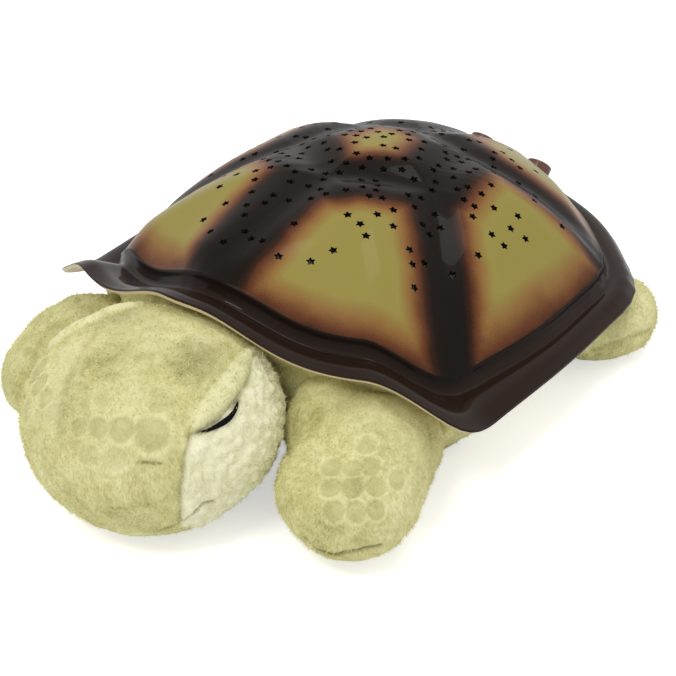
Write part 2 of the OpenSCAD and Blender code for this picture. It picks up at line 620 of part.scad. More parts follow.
// head: widest at HEAD_MID, lower and narrower where it passes under the brim
HEAD_MID = -141;
HEAD_X = 3.5;                   // the stuffed head leans a little to its left
HEAD_CORE = 46;
HEAD_UP = 47;
HEAD_DOWN = 51;
HEAD_BACK = 62;                 // from the widest station back to where it would close
function head_back(y) = (y - HEAD_MID) / HEAD_BACK;
function head_front(y) = (HEAD_MID - y) / (HEAD_MID - nose_y);
function head_swell(y) = y > HEAD_MID ? swell(head_back(y), 2) : swell(head_front(y), 2.15);
function head_half(y) = head_w / 2 * head_swell(y);
function head_up(y) = HEAD_UP * (y > HEAD_MID ? lerp(1, head_swell(y), 0.9) : head_swell(y));
function head_down(y) = HEAD_DOWN * head_swell(y);
HEAD_Y = concat([for (k = [0:4]) lerp(NECK_Y, HEAD_MID, k / 5)],
                [for (a = [0:10:80]) HEAD_MID - (HEAD_MID - nose_y) * sin(a)], [nose_y + 0.35]);
function head_ring(y) =
    [for (p = limb_section(HEAD_X, head_half(y), HEAD_CORE, head_up(y), head_down(y))) [p[0], y, p[1]]];
module head() {
    rings = [for (y = HEAD_Y) let (r = head_ring(y)) [for (k = [LIMB_SIDES - 1:-1:0]) r[k]]];
    color(PLUSH) ring_solid(rings, [HEAD_X, NECK_Y, HEAD_CORE], [HEAD_X, nose_y, HEAD_CORE]);
}
// point of the head's skin at station y and angle a, with 0 at its left and 90 on top
function head_point(y, a) =
    [HEAD_X + head_half(y) * cos(a), y, HEAD_CORE + (sin(a) < 0 ? head_down(y) : head_up(y)) * sin(a)];
function head_normal(y, a) =
    let (c = cross(head_point(y, a + 1) - head_point(y, a - 1), head_point(y + 1, a) - head_point(y - 1, a)))
    -c / norm(c);

// a flat bead laid on the head along stations [y, angle], tapering at both ends
module head_bead(path, half_w, half_t) {
    n = len(path);
    mid = [for (p = path) head_point(p[0], p[1]) + (half_t + SEAT) * head_normal(p[0], p[1])];
    rings = [for (k = [0:n - 1])
        let (t = along(mid, k), up = head_normal(path[k][0], path[k][1]), out = cross(t, up),
             f = pow(sin(180 * (k + 0.5) / n), 0.6))
        [for (s = [0:11]) mid[k] + f * (half_w * cos(s * 30) * out + half_t * sin(s * 30) * up)]];
    ring_solid(rings, mid[0] - along(mid, 0) * half_t / 2, mid[n - 1] + along(mid, n - 1) * half_t / 2);
}
module mirror_head() { translate([2 * HEAD_X, 0, 0]) mirror([1, 0, 0]) children(); }
EYELID = [for (k = [0:8]) [HEAD_MID + lerp(-27, 17, k / 8), lerp(37, 49, k / 8)]];
EYE = [for (k = [0:6]) [HEAD_MID + lerp(-22.5, -2.5, k / 6), lerp(31, 35, k / 6) - 3 * sin(30 * k)]];
module left_eyelid() { color(PALE) head_bead(EYELID, 4.5, 3); }
module right_eyelid() { mirror_head() left_eyelid(); }
module left_eye() { color([0.03, 0.03, 0.03]) head_bead(EYE, 2.2, 1.2); }
module right_eye() { mirror_head() left_eye(); }

// front flippers: forward from their root, resting on the floor; the left one is
// splayed and the right one lies along the head
FLIPPER_X = 79.5;               // middle at the seam
// for each side: middle at the tip, half width, share of its length where it is widest
LEFT_FLIPPER = [97, 34.5, 0.6];
RIGHT_FLIPPER = [80, 31.5, 0.45];
FLIPPER_CORE = [22, 26];        // height of its middle at the seam and where it is widest
FLIPPER_UP = 28;
module flipper(tip_x, half_w, full) {
    function fat(t) = FLIPPER_UP * lerp(0.66, 1, ease(t / full)) * swell(past(t, 0.27), 2.6);
    stations = concat([for (k = [0:4]) full * k / 4],
                      [for (a = [14:14:70]) full + (1 - full) * sin(a)], [0.995]);
    rings = [for (t = stations)
        let (y = SHOULDER[1] - t * flipper_l, x = lerp(FLIPPER_X, tip_x, t),
             c = lerp(FLIPPER_CORE[0], FLIPPER_CORE[1], ease(t / full)),
             s = limb_section(x, half_w * fill(t, full, 0.76, 2), c, fat(t), fat(t)))
        [for (k = [LIMB_SIDES - 1:-1:0]) [s[k][0], y, s[k][1]]]];
    color(PLUSH) ring_solid(rings, [FLIPPER_X, SHOULDER[1], FLIPPER_CORE[0]],
                            [tip_x, SHOULDER[1] - flipper_l, FLIPPER_CORE[1]]);
}
module front_left_flipper() { flipper(LEFT_FLIPPER[0], LEFT_FLIPPER[1], LEFT_FLIPPER[2]); }
module front_right_flipper() {
    mirror([1, 0, 0]) flipper(RIGHT_FLIPPER[0], RIGHT_FLIPPER[1], RIGHT_FLIPPER[2]);
}

// rear flippers: outwards from their root
HIND_Y = 96;
HIND_HALF = 38.5;
HIND_FULL = 0.25;               // share of its length at which it is widest
HIND_CORE = 15;
HIND_UP = 22;
HIND_DOWN = 17;
module rear_left_flipper() {
    rings = [for (a = [0, 7, 15, 30, 45, 60, 75, 84])
        let (t = sin(a), x = lerp(HIND_ROOT, hind_x, t), f = fill(t, HIND_FULL, 0.8, 2.2),
             half = HIND_HALF * fill(t, HIND_FULL, 0.62, 1.8),
             s = limb_section(HIND_Y, half, HIND_CORE, HIND_UP * f, HIND_DOWN * f))
        [for (k = [LIMB_SIDES - 1:-1:0]) [x, s[k][0], s[k][1]]]];
    color(PLUSH) ring_solid(rings, [HIND_ROOT, HIND_Y, HIND_CORE], [hind_x, HIND_Y, HIND_CORE]);
}
module rear_right_flipper() { mirror([1, 0, 0]) rear_left_flipper(); }

TAIL_HALF = 24;
TAIL_CORE = 14;
TAIL_UP = 17;
TAIL_DOWN = 16;
module tail() {
    rings = [for (a = LIMB_ANGLES)
        let (t = sin(a), y = lerp(TAIL_ROOT, tail_y, t), f = swell(t, 1.9),
             s = limb_section(0, TAIL_HALF * f, TAIL_CORE, TAIL_UP * f, TAIL_DOWN * f))
        [for (p = s) [p[0], y, p[1]]]];
    color(PLUSH) ring_solid(rings, [0, TAIL_ROOT, TAIL_CORE], [0, tail_y, TAIL_CORE]);
}

// --- belly flap --------------------------------------------------------------------
FLAP_Z = 0.6;                   // how high the closed flap hangs above the floor
flap_x = well_x + 2 * flap_lap - 2;
flap_y = well_y + 2 * flap_lap - 2;
TAPE_T = 1.1;
TAPE_W = flap_lap - 2;
flap_front = bay_mid_y - flap_y / 2;
tape_y = bay_mid_y + flap_y / 2 - TAPE_W;
module belly_flap() {
    color(PLUSH) difference() {
        translate([-flap_x / 2, flap_front, FLAP_Z]) cube([flap_x, flap_y, flap_t]);
        for (x = [-1, 1]) translate([x * flap_x / 2, bay_mid_y + flap_y / 2, FLAP_Z - EPS])
            rotate(45) translate([-3, -3, 0]) cube([6, 6, flap_t + 2 * EPS]);
    }
}
module hook_tape() {
    color([0.20, 0.20, 0.18]) translate([-well_x / 2 + 4, tape_y, FLAP_Z + flap_t])
        cube([well_x - 8, TAPE_W - 0.5, TAPE_T]);
}
module loop_tape() {
    z = FLAP_Z + flap_t + TAPE_T + SEAT;
    color([0.55, 0.53, 0.40]) translate([-well_x / 2 + 4, tape_y, z])
        cube([well_x - 8, TAPE_W - 0.5, recess_h - z]);
}

shell();
base_tray();
shell_screws();
light_post();
post_screws();
lamp_board();
led_amber();
led_blue();
led_green();
timer_chip();
button_amber();
button_blue();
button_green();
button_board();
board_screws();
switch(BUTTONS[1]);  // switch_amber
switch(BUTTONS[2]);  // switch_blue
switch(BUTTONS[0]);  // switch_green
plunger(BUTTONS[1]);  // plunger_amber
plunger(BUTTONS[2]);  // plunger_blue
plunger(BUTTONS[0]);  // plunger_green
cell(-1);  // battery_front
cell(0);  // battery_middle
cell(1);  // battery_rear
contact_springs();
contact_plates();
battery_door();
battery_screw();
lead_red();
lead_black();
button_cable();
plush_body();
head();
left_eye();
right_eye();
left_eyelid();
right_eyelid();
front_left_flipper();
front_right_flipper();
rear_left_flipper();
rear_right_flipper();
tail();
belly_flap();
hook_tape();
loop_tape();
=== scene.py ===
# %% [markdown]
# # A plush turtle that throws stars
# The light is two things sewn together: a hard moulded shell, pierced with little stars, and a stuffed
# turtle under it. The moving and hidden parts come ready from the frame. This notebook gives every part
# its finish, and remakes the shell and the stuffed parts, whose curves a machine drawing keeps plain.
# The scene is in metres, and shapes are worked out in millimetres. +Z is up, the turtle looks along -Y,
# and its left side is +X.

# %% Load the frame
import json
import math

import bmesh
import bpy
import numpy as np
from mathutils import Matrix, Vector, noise
from mathutils.bvhtree import BVHTree


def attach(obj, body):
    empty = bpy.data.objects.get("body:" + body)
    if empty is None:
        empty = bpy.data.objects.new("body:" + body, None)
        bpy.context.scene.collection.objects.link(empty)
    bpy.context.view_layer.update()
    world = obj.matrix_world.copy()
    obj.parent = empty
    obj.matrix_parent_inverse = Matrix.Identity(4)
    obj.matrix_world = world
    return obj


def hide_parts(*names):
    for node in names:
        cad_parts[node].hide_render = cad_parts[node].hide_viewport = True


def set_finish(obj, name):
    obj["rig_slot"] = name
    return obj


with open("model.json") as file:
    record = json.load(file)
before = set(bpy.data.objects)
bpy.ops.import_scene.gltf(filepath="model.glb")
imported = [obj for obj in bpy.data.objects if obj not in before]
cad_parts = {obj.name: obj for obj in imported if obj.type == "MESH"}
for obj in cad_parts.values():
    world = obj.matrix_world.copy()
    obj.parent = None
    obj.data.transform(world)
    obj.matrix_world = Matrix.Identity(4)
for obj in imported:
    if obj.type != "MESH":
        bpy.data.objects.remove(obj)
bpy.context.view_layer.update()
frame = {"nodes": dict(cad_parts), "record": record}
MM = 0.001

# %% [markdown]
# ## Camera, floor and light
# A long lens from nearly a metre away flattens the toy a little, so its near side doesn't look swollen.
# The floor is a white sheet. It glows faintly for the camera alone, so that it goes white where light
# falls on it and still keeps the toy's soft shadow. A glow that the toy could see would flatten its
# shading. Two big soft lamps, in front and above, give the shell its broad gloss.

# %% Camera
AZIMUTH = math.radians(36.5)
ELEVATION = math.radians(31.5)
DISTANCE = 0.85
LOOK_AT = Vector((0.013, -0.0175, 0.0287))
VIEW_PX = 676
FOCAL_PX = 1734

view_back = Vector((math.sin(AZIMUTH) * math.cos(ELEVATION),
                    -math.cos(AZIMUTH) * math.cos(ELEVATION),
                    math.sin(ELEVATION)))
camera_data = bpy.data.cameras.new("camera")
camera_data.sensor_width = 36
camera_data.lens = FOCAL_PX / VIEW_PX * camera_data.sensor_width
camera_data.clip_start = 0.05
camera_data.clip_end = 20
camera = bpy.data.objects.new("camera", camera_data)
camera.location = LOOK_AT + view_back * DISTANCE
camera.rotation_mode = "QUATERNION"
camera.rotation_quaternion = (-view_back).to_track_quat("-Z", "Y")
bpy.context.scene.collection.objects.link(camera)
bpy.context.scene.camera = camera
bpy.context.scene.view_settings.view_transform = "Standard"
print("lens:", round(camera_data.lens, 1), "mm")


# %% Shader helpers
def new_material(name):
    """A material with an empty tree but for its output, and that tree."""
    material = bpy.data.materials.new(name)
    material.use_nodes = True
    tree = material.node_tree
    tree.nodes.clear()
    tree.nodes.new("ShaderNodeOutputMaterial").name = "out"
    return material, tree


def add(tree, kind, inputs=None, **settings):
    """A new node with its settings and inputs. An input may be a value or another node's output."""
    made = tree.nodes.new(kind)
    for key, value in settings.items():
        setattr(made, key, value)
    for key, value in (inputs or {}).items():
        if isinstance(value, bpy.types.NodeSocket):
            tree.links.new(value, made.inputs[key])
        else:
            made.inputs[key].default_value = value
    return made


def math_node(tree, operation, a, b=0.0, clamp=False):
    """The output of a Math node on a and b."""
    made = add(tree, "ShaderNodeMath", {0: a, 1: b}, operation=operation, use_clamp=clamp)
    return made.outputs[0]


def mix_colour(tree, factor, a, b):
    """The colour that goes from a to b with factor."""
    made = add(tree, "ShaderNodeMix", data_type="RGBA")
    for key, value in (("Factor_Float", factor), ("A_Color", a), ("B_Color", b)):
        socket = next(s for s in made.inputs if s.identifier == key)
        if isinstance(value, bpy.types.NodeSocket):
            tree.links.new(value, socket)
        else:
            socket.default_value = value
    return next(s for s in made.outputs if s.identifier == "Result_Color")


def rgb(red, green, blue):
    """A colour written as 0-255 on a screen, in the linear values that shaders use."""
    def linear(c):
        c = c / 255
        return c / 12.92 if c <= 0.04045 else ((c + 0.055) / 1.055) ** 2.4
    return (linear(red), linear(green), linear(blue), 1.0)


print("the middle grey of a screen counts as", round(rgb(128, 128, 128)[0], 3), "in a shader")

# %% Floor
FLOOR_HALF = 4.0
FLOOR_GLOW = 0.52
SHEET_WHITE = (0.93, 0.93, 0.94, 1)
LIGHT_WHITE = (1, 1, 1, 1)

floor_mesh = bpy.data.meshes.new("floor")
floor_corners = [(FLOOR_HALF * x, FLOOR_HALF * y, 0) for x, y in ((-1, -1), (1, -1), (1, 1), (-1, 1))]
floor_mesh.from_pydata(floor_corners, [], [(0, 1, 2, 3)])
floor = bpy.data.objects.new("floor", floor_mesh)
bpy.context.scene.collection.objects.link(floor)
floor_material, tree = new_material("white_sheet")
seen = add(tree, "ShaderNodeLightPath")
glow_strength = math_node(tree, "MULTIPLY", seen.outputs["Is Camera Ray"], FLOOR_GLOW)
glow = add(tree, "ShaderNodeEmission", {"Color": LIGHT_WHITE, "Strength": glow_strength})
cloth = add(tree, "ShaderNodeBsdfDiffuse", {"Color": SHEET_WHITE})
both = add(tree, "ShaderNodeAddShader", {0: cloth.outputs[0], 1: glow.outputs[0]})
tree.links.new(both.outputs[0], tree.nodes["out"].inputs["Surface"])
floor_mesh.materials.append(floor_material)
print("floor:", 2 * FLOOR_HALF, "m square")

# %% World: white to look at, greyer as a light
WORLD_LIGHT = 0.68
world = bpy.data.worlds.new("studio")
world.use_nodes = True
bpy.context.scene.world = world
tree = world.node_tree
tree.nodes.clear()
seen = add(tree, "ShaderNodeLightPath")
white = math_node(tree, "MAXIMUM", seen.outputs["Is Camera Ray"], seen.outputs["Is Glossy Ray"])
white = math_node(tree, "MAXIMUM", white, seen.outputs["Is Transmission Ray"])
strength = math_node(tree, "ADD", math_node(tree, "MULTIPLY", white, 1 - WORLD_LIGHT), WORLD_LIGHT)
sky = add(tree, "ShaderNodeBackground", {"Color": LIGHT_WHITE, "Strength": strength})
tree.links.new(sky.outputs[0], add(tree, "ShaderNodeOutputWorld").inputs["Surface"])
print("world light:", WORLD_LIGHT)

# %% Lamps
LAMPS_AT = (0, 0, 0.05)


def softbox(name, place, size, watts):
    """A square lamp that looks at the toy."""
    lamp = bpy.data.lights.new(name, "AREA")
    lamp.shape = "SQUARE"
    lamp.size = size
    lamp.energy = watts
    made = bpy.data.objects.new(name, lamp)
    made.location = place
    made.rotation_mode = "QUATERNION"
    made.rotation_quaternion = (Vector(LAMPS_AT) - Vector(place)).to_track_quat("-Z", "Y")
    bpy.context.scene.collection.objects.link(made)
    print(name, watts, "W")


softbox("key_lamp", place=(0.15, -1.05, 1.45), size=0.5, watts=8.2)
softbox("top_lamp", place=(0.2, 0.7, 1.7), size=0.6, watts=6.0)

# %% [markdown]
# ## Shell: the shape
# The shell is one moulding, and its shape follows a rule: seen from above it is a six-cornered outline
# whose corners are rounded and whose sides bow out, and each meridian is a dome, a small step and a wide
# brim. So it isn't sculpted. It is computed ring by ring, much finer than the machine drawing, from the
# same few sizes. The grooves between its plates come from each point's distance to a net of lines.

# %% Outline of the shell, in millimetres and in degrees from the front
SHELL_Y = 12.0
CORNERS = np.array([0.0, 55.0, 125.0, 180.0])
BRIM_REACH = np.array([131.5, 148.0, 146.5, 167.0])
BRIM_WIDTH = np.array([22.0, 29.0, 18.5, 13.5])
FOOT_REACH = BRIM_REACH - BRIM_WIDTH
FOOT_BOW = np.array([0.035, 0.045, 0.055])
BRIM_BOW = np.array([0.045, 0.02, 0.075])
# a corner is rounded by a mean over places to both sides of it: each place's share of the way, and weight
ROUNDING = ((-1.0, 1), (-0.5, 2), (0.0, 3), (0.5, 2), (1.0, 1))
FOOT_ROUNDING = 10.0
FRONT_ROUNDING = 4.0
REAR_ROUNDING = 9.0
ROUNDER_FROM = 75.0
ROUNDER_OVER = 30.0


def ease(t):
    """0 up to t = 0, 1 from t = 1, and a smooth way between them."""
    t = np.clip(t, 0, 1)
    return t * t * (3 - 2 * t)


def bell(x, width):
    return np.exp(-(x / width) ** 2)


def fold(phi):
    """Degrees from the front, the same on both sides of the turtle."""
    return np.abs(phi - 360 * np.round(phi / 360))


def side_of(p):
    return np.clip(np.searchsorted(CORNERS, p, side="right") - 1, 0, 2)


def straight(phi, reach):
    """Reach of the straight line between the two corners on either side of phi."""
    p = fold(phi)
    i = side_of(p)
    a, b = np.radians(p - CORNERS[i]), np.radians(CORNERS[i + 1] - p)
    return reach[i] * reach[i + 1] * np.sin(a + b) / (reach[i] * np.sin(a) + reach[i + 1] * np.sin(b))


def outline(phi, reach, rounding, bow):
    """Reach of the outline with rounded corners and bowed sides."""
    mean = sum(weight * straight(phi + shift * rounding, reach) for shift, weight in ROUNDING)
    mean = mean / sum(weight for _, weight in ROUNDING)
    p = fold(phi)
    i = side_of(p)
    along = (p - CORNERS[i]) / (CORNERS[i + 1] - CORNERS[i])
    return mean * (1 + bow[i] * np.sin(np.pi * along) ** 2)


def foot_reach(phi):
    return outline(phi, FOOT_REACH, FOOT_ROUNDING, FOOT_BOW)


def brim_reach(phi):
    rounder = ease((fold(phi) - ROUNDER_FROM) / ROUNDER_OVER)
    return outline(phi, BRIM_REACH, FRONT_ROUNDING + (REAR_ROUNDING - FRONT_ROUNDING) * rounder, BRIM_BOW)


print("brim from front to rear:", round(float(brim_reach(0.0) + brim_reach(180.0)), 1), "mm")

# %% Heights of the shell, in millimetres
CROWN_Z = 114.0
FOOT_Z = 54.0
EDGE_Z = 38.5
SHOULDER_RISE = 21.0
SHOULDER_TO = 38.0
SHOULDER_FADE = 22.0
ARCH_RISE = 19.5
ARCH_WIDTH = 20.0
# in front the brim's edge rises more than the dome's foot does
EDGE_SHOULDER_RISE = SHOULDER_RISE + 9.0
EDGE_SHOULDER_FADE = 26.0
EDGE_ARCH_RISE = ARCH_RISE + 4.5


def foot_height(phi):
    p = fold(phi)
    shoulder = 1 - ease((p - SHOULDER_TO) / SHOULDER_FADE)
    return FOOT_Z + SHOULDER_RISE * shoulder + ARCH_RISE * bell(p, ARCH_WIDTH)


def edge_height(phi):
    p = fold(phi)
    shoulder = 1 - ease((p - SHOULDER_TO) / EDGE_SHOULDER_FADE)
    return EDGE_Z + EDGE_SHOULDER_RISE * shoulder + EDGE_ARCH_RISE * bell(p, ARCH_WIDTH)


print("foot height in front, at the side and behind:", foot_height(np.array([0.0, 90.0, 180.0])).round(1))

# %% Plates of the dome, in millimetres
SCUTE_RISE = 4.0
SCUTE_FADE = 0.125
GROOVE_WIDTH = 11.0
HUB_ANGLES = np.array([0.0, 100.0, 153.0, 180.0])
HUB_REACH = np.array([20.0, 41.0, 63.0, 62.0])
SPOKE_PAST = 1.1
DOME_SHOULDER = 2.1
DOME_FULLNESS = 0.88


def plan(reach, phi):
    """Plan position from the shell's centre."""
    return np.stack([reach * np.sin(np.radians(phi)), -reach * np.cos(np.radians(phi))], axis=-1)


def line_gap(points, a, b):
    """Distance in plan from points to the line from a to b."""
    d = b - a
    t = np.clip((points - a) @ d / (d @ d), 0, 1)
    return np.linalg.norm(points - a - t[..., None] * d, axis=-1)


HUBS = plan(HUB_REACH, HUB_ANGLES)
SPOKE_ENDS = plan(FOOT_REACH * SPOKE_PAST, CORNERS)


def groove_gap(reach, phi):
    """Distance in plan from the nearest groove: the spokes, and the ring that joins the hubs."""
    q = plan(reach, fold(phi))
    gaps = [line_gap(q, HUBS[i], SPOKE_ENDS[i]) for i in range(4)]
    gaps += [line_gap(q, HUBS[i], HUBS[i + 1]) for i in range(3)]
    return np.min(gaps, axis=0)


def dome_height(rho, phi):
    """Height of the skin at a share rho of the way from the crown to the dome's foot."""
    foot = foot_height(phi)
    arc = np.clip(1 - rho ** DOME_SHOULDER, 0, 1) ** DOME_FULLNESS
    raised = 1 - bell(groove_gap(rho * foot_reach(phi), phi), GROOVE_WIDTH)
    return foot + (CROWN_Z - SCUTE_RISE - foot) * arc + SCUTE_RISE * raised * ease((1 - rho) / SCUTE_FADE)


crown = float(dome_height(0.0, 0.0))
print("crown:", round(crown, 1), "mm")

# %% Guide points of the step and the brim
WALL = 2.5
STEP_H = 8.0
STEP_TOP_OUT = 1.0
STEP_TOP_DOWN = 0.5
STEP_MIDDLE_OUT = 1.8
FOOT_GROOVE = 4.5
# on the brim: share of the way out, share of the way to the edge's height, and how much higher
BRIM_GUIDES = ((0.35, 0.18, 1.5), (0.7, 0.55, 3.0))


def brim_profile(phi):
    """The brim's few guide points from the dome's foot to its edge, as reach and height."""
    foot, top = foot_reach(phi), foot_height(phi)
    brim, edge = brim_reach(phi), edge_height(phi)
    groove, low = foot + FOOT_GROOVE, top - STEP_H
    on_brim = [(groove + out * (brim - groove), low + down * (edge - low) + rise)
               for out, down, rise in BRIM_GUIDES]
    return [(foot + STEP_TOP_OUT, top - STEP_TOP_DOWN), (foot + STEP_MIDDLE_OUT, top - STEP_H / 2),
            (groove, low), *on_brim, (brim, edge + WALL / 2)]


print("guide points of a meridian below the dome:", len(brim_profile(0.0)))

# %% Skin and lining of the shell, ring by ring
MERIDIANS = 360
DOME_RINGS = 46
FOOT_RHO = 0.995
BRIM_STEPS = 5
LIP_LOW = 0.3
LIP_OUT = 0.9


def smooth_through(points, steps):
    """A smooth curve through guide points: points is (meridians, guides, 2)."""
    before, after = 2 * points[:, :1] - points[:, 1:2], 2 * points[:, -1:] - points[:, -2:-1]
    padded = np.concatenate([before, points, after], 1)
    curve = []
    for k in range(1, padded.shape[1] - 2):
        a, b, c, d = (padded[:, k + j] for j in (-1, 0, 1, 2))
        for t in np.arange(steps) / steps:
            curve.append(0.5 * (2 * b + (c - a) * t + (2 * a - 5 * b + 4 * c - d) * t * t
                                + (3 * b - a - 3 * c + d) * t ** 3))
    curve.append(points[:, -1])
    return np.stack(curve, 1)


def with_smooth_brim(skin):
    brim = smooth_through(skin[:, DOME_RINGS - 1:], BRIM_STEPS)
    return np.concatenate([skin[:, :DOME_RINGS - 1], brim], 1)


phi = np.arange(MERIDIANS) * 360 / MERIDIANS
rho = np.arange(1, DOME_RINGS + 1) / DOME_RINGS * FOOT_RHO
reach = rho[None, :] * foot_reach(phi)[:, None]
angle = np.repeat(phi[:, None], DOME_RINGS, 1)
dome = np.stack([reach, dome_height(rho[None, :], angle)], -1)
guides = np.stack([np.stack(p, -1) for p in brim_profile(phi)], 1)
coarse = np.concatenate([dome, guides], 1)
# the lining lies one wall further in, square to the skin
along = np.empty_like(coarse)
along[:, 1:-1] = coarse[:, 2:] - coarse[:, :-2]
along[:, 0] = coarse[:, 1] - [0, crown]
along[:, -1] = coarse[:, -1] - coarse[:, -2]
along /= np.linalg.norm(along, axis=-1, keepdims=True)
lining = coarse + WALL * np.stack([along[..., 1], -along[..., 0]], -1)
outer = with_smooth_brim(coarse)
inner = with_smooth_brim(lining)
lip = outer[:, -1:] * (1 - LIP_LOW) + inner[:, -1:] * LIP_LOW + along[:, -1:] * LIP_OUT
profile = np.concatenate([outer, lip, inner[:, ::-1]], 1)
print("rings:", profile.shape[1], "meridians:", MERIDIANS)


# %% Mesh helpers
def mesh_object(name, points_mm, faces, materials=()):
    """An object at the origin whose mesh has these points, given in millimetres."""
    mesh = bpy.data.meshes.new(name)
    mesh.from_pydata((np.asarray(points_mm, float).reshape(-1, 3) * MM).tolist(), [], faces)
    mesh.update()
    for material in materials:
        mesh.materials.append(material)
    made = bpy.data.objects.new(name, mesh)
    bpy.context.scene.collection.objects.link(made)
    return made


def points_of(piece):
    """The mesh's points as an array, in millimetres."""
    co = np.empty(len(piece.data.vertices) * 3)
    piece.data.vertices.foreach_get("co", co)
    return co.reshape(-1, 3) / MM


def move_points(piece, points_mm):
    piece.data.vertices.foreach_set("co", (np.asarray(points_mm) * MM).ravel())
    piece.data.update()


def baked(piece):
    """Replaces the piece's mesh by what its modifiers make of it, and removes them."""
    graph = bpy.context.evaluated_depsgraph_get()
    mesh = bpy.data.meshes.new_from_object(piece.evaluated_get(graph), depsgraph=graph)
    mesh.name = piece.name
    piece.modifiers.clear()
    piece.data = mesh
    return piece


def removed(piece):
    bpy.data.objects.remove(piece)


def smooth(piece, degrees):
    """Smooth shading, but for edges sharper than this angle."""
    bm = bmesh.new()
    bm.from_mesh(piece.data)
    for face in bm.faces:
        face.smooth = True
    for edge in bm.edges:
        edge.smooth = edge.calc_face_angle(0) < math.radians(degrees)
    bm.to_mesh(piece.data)
    bm.free()


def ring_faces(rings, n):
    """Quads between rings of n points that follow each other, with a point before and after them."""
    first = [(0, 1 + j, 1 + (j + 1) % n) for j in range(n)]
    quads = [(1 + k * n + j, 1 + (k + 1) * n + j, 1 + (k + 1) * n + (j + 1) % n, 1 + k * n + (j + 1) % n)
             for k in range(rings - 1) for j in range(n)]
    end = 1 + rings * n
    last = [(end, end - n + (j + 1) % n, end - n + j) for j in range(n)]
    return first + quads + last


def cut(piece, tool, operation="DIFFERENCE"):
    """Cuts the closed tool from the closed piece, or joins it on, and removes the tool."""
    change = piece.modifiers.new("cut", "BOOLEAN")
    change.operation = operation
    change.solver = "MANIFOLD"
    change.material_mode = "TRANSFER"
    change.object = tool
    baked(piece)
    removed(tool)


# %% [markdown]
# ## Shell: the finish
# The shell is moulded in a pale yellow-green plastic. Dark brown is sprayed along its grooves and on the
# brim, and fades out over two centimetres, and a thin clear coat gives the gloss. A painted texture would
# need a flat layout of the shell. A value kept at each point of the mesh doesn't: it holds the distance
# from the nearest sprayed line, and a colour ramp turns it into paint.

# %% Value nodes
def attribute(tree, name):
    """The value of a point attribute of the mesh."""
    return add(tree, "ShaderNodeAttribute", attribute_name=name).outputs["Fac"]


def object_noise(tree, scale, detail=2.0):
    """Noise in the piece's own coordinates, which are metres: scale is in waves to the metre."""
    where = add(tree, "ShaderNodeTexCoord")
    return add(tree, "ShaderNodeTexNoise", {"Vector": where.outputs["Object"], "Scale": scale,
                                            "Detail": detail, "Roughness": 0.5}).outputs["Fac"]


def ramp(tree, factor, stops):
    """A colour ramp: stops are (place from 0 to 1, colour)."""
    made = add(tree, "ShaderNodeValToRGB", {"Fac": factor})
    band = made.color_ramp
    while len(band.elements) > 1:
        band.elements.remove(band.elements[-1])
    band.elements[0].position, band.elements[0].color = stops[0]
    for place, colour in stops[1:]:
        band.elements.new(place).color = colour
    return made.outputs["Color"]


def surface(tree, **inputs):
    """A Principled shader on the material's output; inputs are named with _ for a space."""
    values = {key.replace("_", " "): value for key, value in inputs.items()}
    shader = add(tree, "ShaderNodeBsdfPrincipled", values)
    tree.links.new(shader.outputs[0], tree.nodes["out"].inputs["Surface"])


# %% Where the paint goes
# the spray gun's own lines: from each point of the top plate to a corner, and how much wider each goes
SPRAY_HUBS = np.array([(-7.0, -23.0), (40.0, 7.0), (28.5, 56.0), (0.0, 62.0)])
SPRAY_ANGLES = np.array([0.0, 57.5, 125.0, 180.0])
SPRAY_ENDS = plan(FOOT_REACH * SPOKE_PAST, SPRAY_ANGLES)
SPRAY_WIDER = (6.5, 0.5, 1.0, 2.0)
RING_WIDER = 7.0
# the paint also creeps in from the dome's foot: how deep it starts, and how fast it thins
EDGE_GAP = 11.5
EDGE_SLOPE = 0.95


def spray_gap(at_mm, foot_gap_mm):
    """Distance from the nearest sprayed line, less how much wider that line goes."""
    q = np.stack([at_mm[:, 0], at_mm[:, 1] - SHELL_Y], -1)
    mirrored = np.stack([np.abs(q[:, 0]), q[:, 1]], -1)
    ring = np.stack([np.abs(SPRAY_HUBS[:, 0]), SPRAY_HUBS[:, 1]], -1)
    gaps = [line_gap(q if i == 0 else mirrored, SPRAY_HUBS[i], SPRAY_ENDS[i]) - SPRAY_WIDER[i]
            for i in range(4)]
    gaps += [line_gap(mirrored, ring[i], ring[i + 1]) - RING_WIDER for i in range(3)]
    return np.minimum(np.maximum(np.min(gaps, axis=0), 0), EDGE_GAP + EDGE_SLOPE * foot_gap_mm)


print("sprayed lines end at:", SPRAY_ENDS.round(1).tolist())

# %% Paint, bare plastic and the walls of the holes
# distance from a sprayed line, in millimetres, and the colour there
SPRAY = ((0, (24, 20, 16)), (7, (28, 21, 16)), (10, (56, 32, 21)), (13.5, (106, 63, 38)),
         (17.5, (142, 104, 58)), (23, (150, 137, 72)), (30, (148, 136, 70)))
SPRAY_SPAN = 30.0
BRIM_PAINT = rgb(38, 25, 18)
# the paint's border wanders and is speckled: waves to the metre, and millimetres to and fro
WANDER = (55, 5.0)
MIST = (1500, 2.5)
DOME_COAT = 0.14
BRIM_COAT_MORE = 0.22


def astray(tree, waves, span_mm):
    """Noise around zero, in millimetres."""
    return math_node(tree, "MULTIPLY", math_node(tree, "SUBTRACT", object_noise(tree, waves), 0.5), span_mm)


